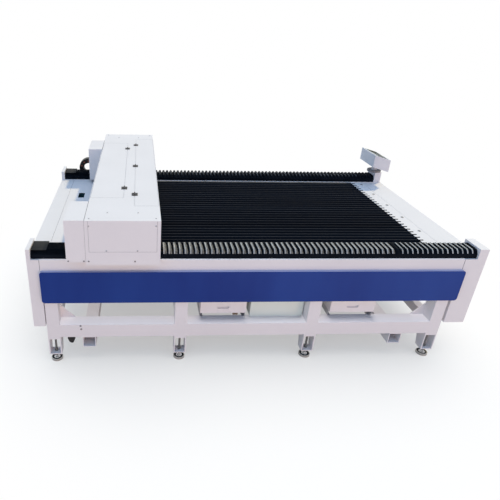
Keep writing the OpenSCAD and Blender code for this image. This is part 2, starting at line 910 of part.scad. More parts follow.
// Box for the high-voltage supply beside the left drawer, open at the back.
module power_supply_box() {
  x0 = drawer_xs[0] + drawer_w + supply_gap;
  x1 = leg_xs[2] - leg_w / 2 - supply_end_gap;
  y0 = drawer_y + supply_back;
  y1 = shelf_w / 2 - shelf_y;
  top = drawer_z + drawer_h;
  color(white) placed() difference() {
    box([x0, y0, lower_beam_top], [x1, y1, top]);
    box([x0 + sheet_t, y0 + sheet_t, lower_beam_top + sheet_t], [x1 - sheet_t, y1 + eps, top - sheet_t]);
  }
}

// Post with the fixed swivel plate.
module control_post() {
  color(white) placed() {
    box([post_x1 - post_l, post_y - post_d / 2, deck_z], [post_x1, post_y + post_d / 2, post_z]);
    translate([swivel_x, swivel_y, post_z]) cylinder(d = swivel_d, h = swivel_t);
  }
}

// Channel runners that the drawers slide on.
module drawer_runner(x, turn) {
  h = drawer_rise - fit_gap;
  translate([x, drawer_y + runner_w, lower_beam_top]) mirror([turn, 0, 0]) {
    cube([runner_w, drawer_d - runner_w, runner_t]);
    cube([runner_t, drawer_d - runner_w, h]);
    translate([0, 0, h - runner_t]) cube([runner_w, drawer_d - runner_w, runner_t]);
  }
}

module drawer_runners() {
  color(steel) placed() for (x = drawer_xs) {
    drawer_runner(x, 0);
    drawer_runner(x + drawer_w, 1);
  }
}

// Square beam across the machine inside the gantry housing.
module gantry_beam() {
  half = gantry_beam_s / 2;
  color(steel) placed() rect_tube(
    [gantry_beam_x - half, gantry_near + beam_end_gap, gantry_beam_z],
    [gantry_beam_x + half, gantry_far - beam_end_gap, gantry_beam_top], 1, tube_wall);
}

// Opening for a lid, grown by a margin.
module lid_hole(x0, x1, y0, l, margin, z0, z1) {
  box([x0 - margin, y0 - margin, z0], [x1 + margin, y0 + l + margin, z1]);
}

// Top sheet with rebated openings for the two lids.
module gantry_top() {
  t = housing_t;
  color(white) placed() difference() {
    union() {
      box([gantry_x0, gantry_near, gantry_top_z - t], [gantry_x1, gantry_far, gantry_top_z]);
      box([gantry_x0 + t, gantry_near + t, gantry_top_z - t - ledge_t],
          [gantry_x1 - t, gantry_far - t, gantry_top_z - t]);
    }
    for (z = [[gantry_top_z - t, lid_gap], [gantry_top_z - t - ledge_t - eps, -ledge_w]]) {
      lid_hole(left_lid_x0, left_lid_x1, left_lid_y0, left_lid_l, z[1], z[0], gantry_top_z + eps);
      lid_hole(right_lid_x0, right_lid_x1, right_lid_y0, right_lid_l, z[1], z[0], gantry_top_z + eps);
    }
  }
}

// Side sheets, raised over the bed and stepped over the bellows.
module gantry_side(x) {
  top = gantry_top_z - housing_t;
  y0 = gantry_near + housing_t;
  y1 = gantry_far - housing_t;
  step_y = side_y + side_clear;
  frame_z = deck_z + bellows_h - fold_h;
  along_x(x, x + housing_t) polygon([
    [y0, top], [y0, gantry_z], [-step_y, gantry_z], [-step_y, frame_z], [-beam_in_y, frame_z],
    [-beam_in_y, housing_side_z], [beam_in_y, housing_side_z], [beam_in_y, frame_z],
    [step_y, frame_z], [step_y, gantry_z], [y1, gantry_z], [y1, top]
  ]);
}

module gantry_sides() {
  color(white) placed() {
    gantry_side(gantry_x0);
    gantry_side(gantry_x1 - housing_t);
  }
}

// Joint line around an access plate, cut into the near end.
module plate_line() {
  low = [gantry_x0 + plate_edge, gantry_near - eps, gantry_z + plate_rise];
  high = [gantry_x1 - plate_edge, gantry_near + line_d, gantry_top_z];
  difference() {
    box(low, high);
    box(low + [line_w, -eps, line_w], high + [-line_w, eps, eps]);
  }
}

// End sheets, the near one with the joint line of its access plate.
module gantry_ends() {
  top = gantry_top_z - housing_t;
  color(white) placed() {
    difference() {
      box([gantry_x0, gantry_near, gantry_z], [gantry_x1, gantry_near + housing_t, top]);
      plate_line();
    }
    box([gantry_x0, gantry_far - housing_t, gantry_z], [gantry_x1, gantry_far, top]);
  }
}

// Cover over a drive motor, open below and towards the housing.
module drive_cover() {
  y0 = gantry_near + bevel;
  y1 = y0 + drive_cover_d;
  difference() {
    box([cover_x0, y0, drive_cover_z], [gantry_x0, y1, gantry_top_z]);
    box([cover_x0 + housing_t, y0 + housing_t, drive_cover_z - eps],
        [gantry_x0 + eps, y1 - housing_t, gantry_top_z - housing_t]);
  }
}

module near_drive_cover() {
  color(white) placed() drive_cover();
}

module far_drive_cover() {
  color(white) placed() mirror([0, 1, 0]) drive_cover();
}

// Motors standing on plates that are screwed to the housing's left side.
module drive_motors() {
  x = cover_x0 + drive_cover_w / 2;
  plate_z = carriage_top + saddle_t;
  color(black) placed() both_sides() {
    box([x - motor_s / 2, rail_y - motor_s / 2, plate_z],
        [gantry_x0, rail_y + motor_s / 2, plate_z + motor_plate_t]);
    translate([x, rail_y, plate_z - motor_shaft_l]) cylinder(d = motor_shaft_d, h = motor_shaft_l + eps);
    translate([0, 0, plate_z + motor_plate_t]) {
      box([x - motor_s / 2, rail_y - motor_s / 2, 0], [x + motor_s / 2, rail_y + motor_s / 2, motor_h]);
      translate([x, rail_y, motor_h - eps]) cylinder(d = motor_cap_d, h = bevel);
    }
  }
}

// Ball carriages on the rails, joined by a saddle plate under the gantry beam.
module rail_carriages() {
  slot_w = rail_w + 2 * fit_gap;
  color(steel) placed() both_sides() {
    difference() {
      for (x = carriage_xs)
        box([x - carriage_l / 2, rail_y - carriage_w / 2, deck_z + carriage_rise],
            [x + carriage_l / 2, rail_y + carriage_w / 2, carriage_top]);
      box([gantry_x0, rail_y - slot_w / 2, deck_z], [gantry_x1, rail_y + slot_w / 2, rail_top + fit_gap]);
    }
    box([carriage_xs[0] - carriage_l / 2, rail_y - carriage_w / 2, carriage_top],
        [carriage_xs[1] + carriage_l / 2, rail_y + carriage_w / 2, carriage_top + saddle_t]);
  }
}

// Sealed glass laser tube with a narrower cap at each end.
module laser_tube() {
  color("#d8c8d8") placed() translate([tube_x, tube_y0, tube_z]) rotate([-90, 0, 0]) {
    cylinder(d = tube_d, h = tube_l);
    translate([0, 0, -tube_cap_l]) cylinder(d = tube_cap_d, h = tube_l + 2 * tube_cap_l);
  }
}

// Clamps that hold the laser tube on the gantry beam.
module tube_clamps() {
  half = tube_d / 2 + clamp_t;
  color(black) placed() for (s = clamp_shares) translate([tube_x, tube_y0 + s * tube_l, 0])
    difference() {
      union() {
        box([-half, -clamp_w / 2, gantry_beam_top], [half, clamp_w / 2, tube_z]);
        along_y(-clamp_w / 2, clamp_w / 2) translate([0, tube_z]) circle(half);
      }
      along_y(-clamp_w, clamp_w) translate([0, tube_z]) circle(tube_d / 2 + fit_gap);
    }
}

module head_rail() {
  color(steel) placed()
    box([gantry_beam_x1, -head_rail_l / 2, head_rail_z - head_rail_w / 2],
        [gantry_beam_x1 + head_rail_t, head_rail_l / 2, head_rail_z + head_rail_w / 2]);
}

// A flat lid in its rebate.
module lid(x0, x1, y0, l) {
  lid_hole(x0, x1, y0, l, 0, gantry_top_z - housing_t + fit_gap, gantry_top_z);
}

module left_lid() {
  color(white) placed() lid(left_lid_x0, left_lid_x1, left_lid_y0, left_lid_l);
}

module right_lid() {
  color(white) placed() lid(right_lid_x0, right_lid_x1, right_lid_y0, right_lid_l);
}

// One hinge leaf to the right of its pin, with knuckles at the given places, clear of the others.
module hinge_leaf(knuckles, gaps) {
  third = hinge_l / 3;
  difference() {
    union() {
      translate([lid_gap / 2, 0, gantry_top_z]) cube([leaf_w, hinge_l, leaf_t]);
      for (k = knuckles) translate([0, k * third + fit_gap, hinge_z]) rotate([-90, 0, 0])
        cylinder(d = knuckle_d, h = third - 2 * fit_gap);
      for (k = knuckles) translate([0, k * third + fit_gap, gantry_top_z])
        cube([knuckle_d / 2, third - 2 * fit_gap, hinge_rise]);
    }
    for (k = gaps) translate([-eps, k * third - fit_gap, gantry_top_z - eps])
      cube([knuckle_d / 2 + 2 * eps, third + 2 * fit_gap, hinge_rise + knuckle_d]);
    translate([0, -eps, hinge_z]) rotate([-90, 0, 0])
      cylinder(d = hinge_pin_d + 2 * pin_clear, h = hinge_l + 2 * eps);
    translate([-lid_gap / 2, -eps, gantry_top_z - eps]) cube([lid_gap, hinge_l + 2 * eps, bevel]);
  }
}

// Fixed leaves and pins, with the lid on the left of the pin.
module fixed_hinge() {
  hinge_leaf([0, 2], [1]);
  translate([0, 0, hinge_z]) rotate([-90, 0, 0]) cylinder(d = hinge_pin_d, h = hinge_l);
}

// Places hinges along a lid's pin line, with the lid to the left of it.
module left_hinges() {
  for (y = left_hinge_ys) translate([left_lid_x1 + lid_gap / 2, y - hinge_l / 2, 0]) children();
}

// Places hinges along a lid's pin line, with the lid to the right of it.
module right_hinges() {
  for (y = right_hinge_ys) translate([right_lid_x0 - lid_gap / 2, y - hinge_l / 2, 0])
    mirror([1, 0, 0]) children();
}

module lid_hinges() {
  color(black) placed() {
    left_hinges() fixed_hinge();
    right_hinges() fixed_hinge();
  }
}

module left_lid_leaves() {
  color(black) placed() left_hinges() mirror([1, 0, 0]) hinge_leaf([1], [0, 2]);
}

module right_lid_leaves() {
  color(black) placed() right_hinges() mirror([1, 0, 0]) hinge_leaf([1], [0, 2]);
}

// Ball carriage and mounting plate of the cutting head.
module head_carriage() {
  half = head_rail_w / 2 + fit_gap;
  color(steel) placed() difference() {
    union() {
      box([gantry_beam_x1 + carriage_rise, -head_block_w / 2, head_rail_z - head_block_h / 2],
          [head_plate_x, head_block_w / 2, head_rail_z + head_block_h / 2]);
      box([head_plate_x, -head_plate_w / 2, head_rail_z - head_plate_h / 2],
          [head_plate_x + head_plate_t, head_plate_w / 2, head_rail_z + head_plate_h / 2]);
    }
    box([gantry_beam_x1, -head_block_w, head_rail_z - half],
        [gantry_beam_x1 + head_rail_t + fit_gap, head_block_w, head_rail_z + half]);
  }
}

// Cutting head: mirror block, lens tube and tapered nozzle.
module laser_head() {
  slide_x = head_plate_x + head_plate_t + fit_gap;
  r = head_d / 2;
  color("#b5262a") placed() {
    box([slide_x, -head_block_w / 2, head_rail_z - head_block_h],
        [head_x, head_block_w / 2, head_rail_z + head_block_h]);
    translate([head_x, 0, nozzle_z]) rotate_extrude() polygon([
      [0, 0], [nozzle_r, 0], [nozzle_r + line_w, nozzle_tip_h], [lens_r, nozzle_top_h],
      [lens_r, lens_h], [r, lens_h], [r, head_top_z - nozzle_z], [0, head_top_z - nozzle_z]
    ]);
  }
}

// Sloping control box on its swivel neck.
module control_box() {
  half = control_l / 2;
  color(white) placed() {
    along_y(swivel_y - control_w / 2, swivel_y + control_w / 2) translate([control_x, control_z]) polygon([
      [-half, control_rise], [half, -control_rise],
      [half, control_h - control_rise], [-half, control_h + control_rise]
    ]);
    translate([swivel_x, swivel_y, post_z + swivel_t + fit_gap])
      cylinder(d = neck_d, h = control_lift + control_rise);
  }
}

// Membrane keypad and display on the sloping top.
module control_panel() {
  panel_l = control_l - 2 * panel_edge;
  panel_w = control_w - 2 * panel_edge;
  key_pitch = panel_l / (key_rows + 1);
  display_l = display_l_share * panel_l;
  color(black) placed() translate([control_x, swivel_y, control_z + control_h])
    rotate([0, control_slope, 0]) {
      box([-panel_l / 2, -panel_w / 2, 0], [panel_l / 2, panel_w / 2, key_t]);
      box([-display_l / 2, 0, key_t], [display_l / 2, display_w_share * panel_w, 2 * key_t]);
      for (i = [1:key_rows], j = [1:key_columns])
        translate([i * key_pitch - panel_l / 2, -j * key_pitch, 0])
          box([-key_s / 2, -key_s / 2, key_t], [key_s / 2, key_s / 2, 2 * key_t]);
    }
}

// Folded drawer with a closed cup in its front to pull it by.
module drawer(x) {
  y1 = drawer_y + drawer_d;
  top = drawer_z + drawer_h;
  cup_x = x + (drawer_w - handle_w) / 2;
  low = [cup_x, drawer_z + handle_z];
  high = low + [handle_w, handle_h];
  rim = [drawer_t, drawer_t];
  difference() {
    union() {
      difference() {
        box([x, drawer_y, drawer_z], [x + drawer_w, y1, top]);
        box([x + drawer_t, drawer_y + drawer_t, drawer_z + drawer_t],
            [x + drawer_w - drawer_t, y1 - drawer_t, top + eps]);
      }
      along_y(drawer_y, drawer_y + handle_d) round_rect(low - rim, high + rim, handle_h / 4);
    }
    along_y(drawer_y - eps, drawer_y + handle_d - drawer_t) round_rect(low, high, handle_h / 4);
  }
}

module left_drawer() {
  color(white) placed() drawer(drawer_xs[0]);
}

module right_drawer() {
  color(white) placed() drawer(drawer_xs[1]);
}

near_side_beam();
far_side_beam();
legs();
lower_beams();
cross_beams();
corner_gussets();
fork_pockets();
foot_brackets();
foot_studs();
foot_pads();
near_side_panel();
far_side_panel();
near_left_cover();
near_right_cover();
far_left_cover();
far_right_cover();
left_end_panel();
right_end_panel();
left_table_sheet();
right_table_sheet();
table_screws();
bed_strips();
bed_bearers();
scrap_tray();
slat_combs();
bed_slats();
guide_rails();
near_right_bellows();
far_right_bellows();
near_left_bellows();
far_left_bellows();
cable_trough();
cable_chain_run();
power_connector();
power_supply_box();
control_post();
drawer_runners();
gantry_beam();
gantry_top();
gantry_sides();
gantry_ends();
near_drive_cover();
far_drive_cover();
drive_motors();
rail_carriages();
laser_tube();
tube_clamps();
head_rail();
cable_chain_loop();
left_lid();
right_lid();
lid_hinges();
left_lid_leaves();
right_lid_leaves();
head_carriage();
laser_head();
control_box();
control_panel();
left_drawer();
right_drawer();
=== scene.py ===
"""Looks of a flatbed laser cutting machine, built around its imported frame."""
import json
import math
import random

import bmesh
import bpy
from mathutils import Matrix, Vector


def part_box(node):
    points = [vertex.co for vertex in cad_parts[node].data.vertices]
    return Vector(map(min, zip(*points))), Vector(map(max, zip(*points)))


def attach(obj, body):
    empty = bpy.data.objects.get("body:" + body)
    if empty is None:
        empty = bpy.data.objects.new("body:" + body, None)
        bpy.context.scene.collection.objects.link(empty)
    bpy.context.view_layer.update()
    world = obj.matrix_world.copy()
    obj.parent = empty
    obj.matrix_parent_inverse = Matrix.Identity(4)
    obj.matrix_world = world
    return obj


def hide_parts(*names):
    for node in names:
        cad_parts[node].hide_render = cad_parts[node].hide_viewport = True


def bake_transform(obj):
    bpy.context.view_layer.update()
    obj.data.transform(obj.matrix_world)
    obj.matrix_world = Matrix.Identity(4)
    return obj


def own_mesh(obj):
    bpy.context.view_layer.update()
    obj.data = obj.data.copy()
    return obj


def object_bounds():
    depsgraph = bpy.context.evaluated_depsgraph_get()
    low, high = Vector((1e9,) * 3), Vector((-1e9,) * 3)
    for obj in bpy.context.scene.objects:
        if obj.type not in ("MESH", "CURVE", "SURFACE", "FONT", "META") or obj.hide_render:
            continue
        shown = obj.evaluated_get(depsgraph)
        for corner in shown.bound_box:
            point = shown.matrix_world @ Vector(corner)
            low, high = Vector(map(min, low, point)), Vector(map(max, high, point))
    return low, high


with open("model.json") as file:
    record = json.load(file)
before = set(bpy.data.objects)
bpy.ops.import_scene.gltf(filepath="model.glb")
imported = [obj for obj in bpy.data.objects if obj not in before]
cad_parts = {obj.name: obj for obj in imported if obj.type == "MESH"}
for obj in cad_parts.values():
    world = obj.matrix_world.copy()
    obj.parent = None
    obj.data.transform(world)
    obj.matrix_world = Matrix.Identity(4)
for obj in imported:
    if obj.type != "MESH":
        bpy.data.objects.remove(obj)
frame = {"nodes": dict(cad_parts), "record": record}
cad_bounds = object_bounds()
nodes = frame["nodes"]

MM = 0.001

# Camera at the photograph's view, in metres, radians and pixels of a 500 pixel frame.
FRAME_PX = 500
CAMERA_AT = Vector((-0.901, -4.1094, 2.5264))
CAMERA_YAW = 0.0698
CAMERA_PITCH = 0.4708
CAMERA_ROLL = -0.0317
FOCAL_PX = 474.0
CENTRE_X_PX = 168.9
CENTRE_Y_PX = 249.4
SENSOR_MM = 36

# Light: a warm sun from behind on the right, a bluish sky, warm light thrown back by the ground in front,
# a wide sun for the floor, and a lamp from above that reaches only the frame and the near side beam.
SUN_FROM = Vector((0.65, 0.54, 1.0))
SUN_LEVEL = 2.1
SUN_COLOUR = (1.0, 0.84, 0.50)
SUN_SOFTNESS = math.radians(3)
FLOOR_SUN_FROM = Vector((0.1, 0.15, 1.0))
FLOOR_SUN_LEVEL = 2.2
FLOOR_SUN_COLOUR = (1.0, 0.92, 0.78)
FLOOR_SUN_SOFTNESS = math.radians(75)
BOUNCE_FROM = Vector((0.4, -1.0, -0.1))
BOUNCE_LEVEL = 0.75
BOUNCE_COLOUR = (1.0, 0.52, 0.28)
BOUNCE_SOFTNESS = math.radians(50)
UNDER_FROM = Vector((0.0, 0.3, 1.0))
UNDER_LEVEL = 1.5
UNDER_COLOUR = (1.0, 0.96, 0.94)
UNDER_SOFTNESS = math.radians(30)
UNDER_NODES = ("lower_beams", "legs", "fork_pockets", "corner_gussets", "cross_beams", "foot_pads",
               "foot_studs", "near_side_beam")
UNDER_SCREENS = ("left_drawer", "right_drawer", "power_supply_box", "fork_pockets")
HORIZON_COLOUR = (0.59, 0.65, 0.79, 1)
HORIZON_AT = 0.05
ZENITH_COLOUR = (0.37, 0.57, 0.84, 1)
ZENITH_AT = 0.8
WHITE = (1, 1, 1, 1)

# Floor: its side in metres, its colour to the eye and as the machine sees it, how much plain white is mixed
# in near the machine, and the distances in metres over which it fades to plain white.
FLOOR_SIDE = 60
FLOOR_COLOUR = (0.89, 0.84, 0.775)
FLOOR_BOUNCE_COLOUR = (0.58, 0.55, 0.51)
NEAR_GLOW = 0.42
FADE_FROM = 1.7
FADE_TO = 3.0


def make_camera():
    """Camera with the photograph's place, tilt and framing."""
    forward = Vector((
        math.sin(CAMERA_YAW) * math.cos(CAMERA_PITCH),
        math.cos(CAMERA_YAW) * math.cos(CAMERA_PITCH),
        -math.sin(CAMERA_PITCH),
    ))
    level = Vector((math.cos(CAMERA_YAW), -math.sin(CAMERA_YAW), 0))
    down = forward.cross(level)
    right = math.cos(CAMERA_ROLL) * level + math.sin(CAMERA_ROLL) * down
    up = math.sin(CAMERA_ROLL) * level - math.cos(CAMERA_ROLL) * down
    data = bpy.data.cameras.new("camera")
    data.sensor_width = SENSOR_MM
    data.lens = SENSOR_MM * FOCAL_PX / FRAME_PX
    data.shift_x = 0.5 - CENTRE_X_PX / FRAME_PX
    data.shift_y = CENTRE_Y_PX / FRAME_PX - 0.5
    camera = bpy.data.objects.new("camera", data)
    turn = Matrix((right, up, -forward)).transposed().to_4x4()
    camera.matrix_world = Matrix.Translation(CAMERA_AT) @ turn
    bpy.context.scene.collection.objects.link(camera)
    bpy.context.scene.camera = camera


def make_sun(name, source, level, colour, softness):
    """A sun lamp that shines from a direction; gives its light linking."""
    data = bpy.data.lights.new(name, "SUN")
    data.energy = level
    data.color = colour
    data.angle = softness
    sun = bpy.data.objects.new(name, data)
    sun.rotation_euler = source.to_track_quat("Z", "Y").to_euler()
    bpy.context.scene.collection.objects.link(sun)
    return sun.light_linking


def light_group(name, objects, state):
    """Objects that a lamp takes in or leaves out."""
    group = bpy.data.collections.new(name)
    for item in objects:
        group.objects.link(item)
    for member in group.collection_objects:
        member.light_linking.link_state = state
    return group


def make_lamps(floor):
    """Suns for the machine and for the floor, the ground's bounce, and the lamp for the frame."""
    no_floor = light_group("all_but_floor", [floor], "EXCLUDE")
    sun = make_sun("machine_sun", SUN_FROM, SUN_LEVEL, SUN_COLOUR, SUN_SOFTNESS)
    sun.receiver_collection = no_floor
    floor_sun = make_sun("floor_sun", FLOOR_SUN_FROM, FLOOR_SUN_LEVEL, FLOOR_SUN_COLOUR, FLOOR_SUN_SOFTNESS)
    floor_sun.receiver_collection = light_group("floor_alone", [floor], "INCLUDE")
    bounce = make_sun("ground_bounce", BOUNCE_FROM, BOUNCE_LEVEL, BOUNCE_COLOUR, BOUNCE_SOFTNESS)
    bounce.receiver_collection = no_floor
    bounce.blocker_collection = no_floor
    under = make_sun("under_lamp", UNDER_FROM, UNDER_LEVEL, UNDER_COLOUR, UNDER_SOFTNESS)
    under.receiver_collection = light_group("under_bed", [nodes[name] for name in UNDER_NODES], "INCLUDE")
    screens = [nodes[name] for name in UNDER_SCREENS]
    under.blocker_collection = light_group("under_screens", screens, "INCLUDE")


def background_seen(tree):
    """1 on the rays that show the background: camera, glossy and transmission rays."""
    path = tree.nodes.new("ShaderNodeLightPath")
    total = path.outputs["Is Camera Ray"]
    for ray in ("Is Glossy Ray", "Is Transmission Ray"):
        either = tree.nodes.new("ShaderNodeMath")
        either.operation = "MAXIMUM"
        tree.links.new(total, either.inputs[0])
        tree.links.new(path.outputs[ray], either.inputs[1])
        total = either.outputs[0]
    return total


def make_sky():
    """Sky that lights by its height and shows as plain white."""
    world = bpy.data.worlds.new("studio")
    world.use_nodes = True
    tree = world.node_tree
    tree.nodes.clear()
    output = tree.nodes.new("ShaderNodeOutputWorld")
    mix = tree.nodes.new("ShaderNodeMixShader")
    sky = tree.nodes.new("ShaderNodeBackground")
    white = tree.nodes.new("ShaderNodeBackground")
    coordinates = tree.nodes.new("ShaderNodeTexCoord")
    split = tree.nodes.new("ShaderNodeSeparateXYZ")
    ramp = tree.nodes.new("ShaderNodeValToRGB")
    ramp.color_ramp.elements[0].position = HORIZON_AT
    ramp.color_ramp.elements[0].color = HORIZON_COLOUR
    ramp.color_ramp.elements[1].position = ZENITH_AT
    ramp.color_ramp.elements[1].color = ZENITH_COLOUR
    white.inputs["Color"].default_value = WHITE
    tree.links.new(coordinates.outputs["Generated"], split.inputs[0])
    tree.links.new(split.outputs["Z"], ramp.inputs["Fac"])
    tree.links.new(ramp.outputs["Color"], sky.inputs["Color"])
    tree.links.new(background_seen(tree), mix.inputs["Fac"])
    tree.links.new(sky.outputs[0], mix.inputs[1])
    tree.links.new(white.outputs[0], mix.inputs[2])
    tree.links.new(mix.outputs[0], output.inputs["Surface"])
    bpy.context.scene.world = world
    bpy.context.scene.view_settings.view_transform = "Standard"


def floor_material():
    """Pale floor that keeps the shadow near the machine and fades to plain white further off."""
    material = bpy.data.materials.new("floor")
    material.use_nodes = True
    tree = material.node_tree
    tree.nodes.clear()
    output = tree.nodes.new("ShaderNodeOutputMaterial")
    mix = tree.nodes.new("ShaderNodeMixShader")
    seen = tree.nodes.new("ShaderNodeMixShader")
    matt = tree.nodes.new("ShaderNodeBsdfDiffuse")
    matt.inputs["Color"].default_value = (*FLOOR_COLOUR, 1)
    bounce = tree.nodes.new("ShaderNodeBsdfDiffuse")
    bounce.inputs["Color"].default_value = (*FLOOR_BOUNCE_COLOUR, 1)
    white = tree.nodes.new("ShaderNodeEmission")
    white.inputs["Color"].default_value = WHITE
    place = tree.nodes.new("ShaderNodeNewGeometry")
    reach = tree.nodes.new("ShaderNodeVectorMath")
    reach.operation = "LENGTH"
    fade = tree.nodes.new("ShaderNodeMapRange")
    fade.interpolation_type = "SMOOTHSTEP"
    fade.inputs["From Min"].default_value = FADE_FROM
    fade.inputs["From Max"].default_value = FADE_TO
    fade.inputs["To Min"].default_value = NEAR_GLOW
    tree.links.new(place.outputs["Position"], reach.inputs[0])
    tree.links.new(reach.outputs["Value"], fade.inputs["Value"])
    tree.links.new(fade.outputs["Result"], mix.inputs["Fac"])
    tree.links.new(matt.outputs[0], mix.inputs[1])
    tree.links.new(white.outputs[0], mix.inputs[2])
    tree.links.new(background_seen(tree), seen.inputs["Fac"])
    tree.links.new(bounce.outputs[0], seen.inputs[1])
    tree.links.new(mix.outputs[0], seen.inputs[2])
    tree.links.new(seen.outputs[0], output.inputs["Surface"])
    return material


def make_stage():
    """Floor, sky and lamps."""
    half = FLOOR_SIDE / 2
    corners = [(-half, -half, 0), (half, -half, 0), (half, half, 0), (-half, half, 0)]
    mesh = bpy.data.meshes.new("floor")
    mesh.from_pydata(corners, [], [(0, 1, 2, 3)])
    mesh.materials.append(floor_material())
    floor = bpy.data.objects.new("floor", mesh)
    bpy.context.scene.collection.objects.link(floor)
    make_sky()
    make_lamps(floor)


# Noise values of the dark and the light tone, octaves of the two noises, and depth of relief in metres.
DARK_AT = 0.35
LIGHT_AT = 0.65
CLOUD_DETAIL = 4
GRAIN_DETAIL = 2
BUMP_DEPTH = 0.0006


def new_material(name, colour, roughness, metallic=0.0, specular=0.5):
    """A material with one principled shader, its node tree and the shader."""
    material = bpy.data.materials.new(name)
    material.use_nodes = True
    shader = material.node_tree.nodes["Principled BSDF"]
    shader.inputs["Base Color"].default_value = (*colour, 1)
    shader.inputs["Roughness"].default_value = roughness
    shader.inputs["Metallic"].default_value = metallic
    shader.inputs["Specular IOR Level"].default_value = specular
    return material, material.node_tree, shader


def noise_node(tree, scale, detail, stretch=(1, 1, 1)):
    """Noise in object space, stretched along the axes."""
    coordinates = tree.nodes.new("ShaderNodeTexCoord")
    mapping = tree.nodes.new("ShaderNodeMapping")
    mapping.inputs["Scale"].default_value = stretch
    noise = tree.nodes.new("ShaderNodeTexNoise")
    noise.inputs["Scale"].default_value = scale
    noise.inputs["Detail"].default_value = detail
    tree.links.new(coordinates.outputs["Object"], mapping.inputs["Vector"])
    tree.links.new(mapping.outputs["Vector"], noise.inputs["Vector"])
    return noise


def vary_colour(tree, shader, noise, dark, light):
    """Colour between two tones, following a noise."""
    ramp = tree.nodes.new("ShaderNodeValToRGB")
    ramp.color_ramp.elements[0].position = DARK_AT
    ramp.color_ramp.elements[0].color = (*dark, 1)
    ramp.color_ramp.elements[1].position = LIGHT_AT
    ramp.color_ramp.elements[1].color = (*light, 1)
    tree.links.new(noise.outputs["Fac"], ramp.inputs["Fac"])
    tree.links.new(ramp.outputs["Color"], shader.inputs["Base Color"])


def vary_roughness(tree, shader, noise, low, high):
    """Roughness between two values, following a noise."""
    spread = tree.nodes.new("ShaderNodeMapRange")
    spread.inputs["To Min"].default_value = low
    spread.inputs["To Max"].default_value = high
    tree.links.new(noise.outputs["Fac"], spread.inputs["Value"])
    tree.links.new(spread.outputs["Result"], shader.inputs["Roughness"])


def add_bump(tree, shader, noise, strength):
    """Fine relief from a noise."""
    bump = tree.nodes.new("ShaderNodeBump")
    bump.inputs["Distance"].default_value = BUMP_DEPTH
    bump.inputs["Strength"].default_value = strength
    tree.links.new(noise.outputs["Fac"], bump.inputs["Height"])
    tree.links.new(bump.outputs["Normal"], shader.inputs["Normal"])


def surface(name, dark, light, rough, metallic=0.0, specular=0.5, cloud=3.0, grain=900.0, relief=0.15,
            stretch=(1, 1, 1)):
    """A material whose colour, gloss and relief vary at two scales."""
    material, tree, shader = new_material(name, light, rough[1], metallic, specular)
    clouds = noise_node(tree, cloud, CLOUD_DETAIL, stretch)
    grains = noise_node(tree, grain, GRAIN_DETAIL, stretch)
    vary_colour(tree, shader, clouds, dark, light)
    vary_roughness(tree, shader, clouds, *rough)
    add_bump(tree, shader, grains, relief)
    return material


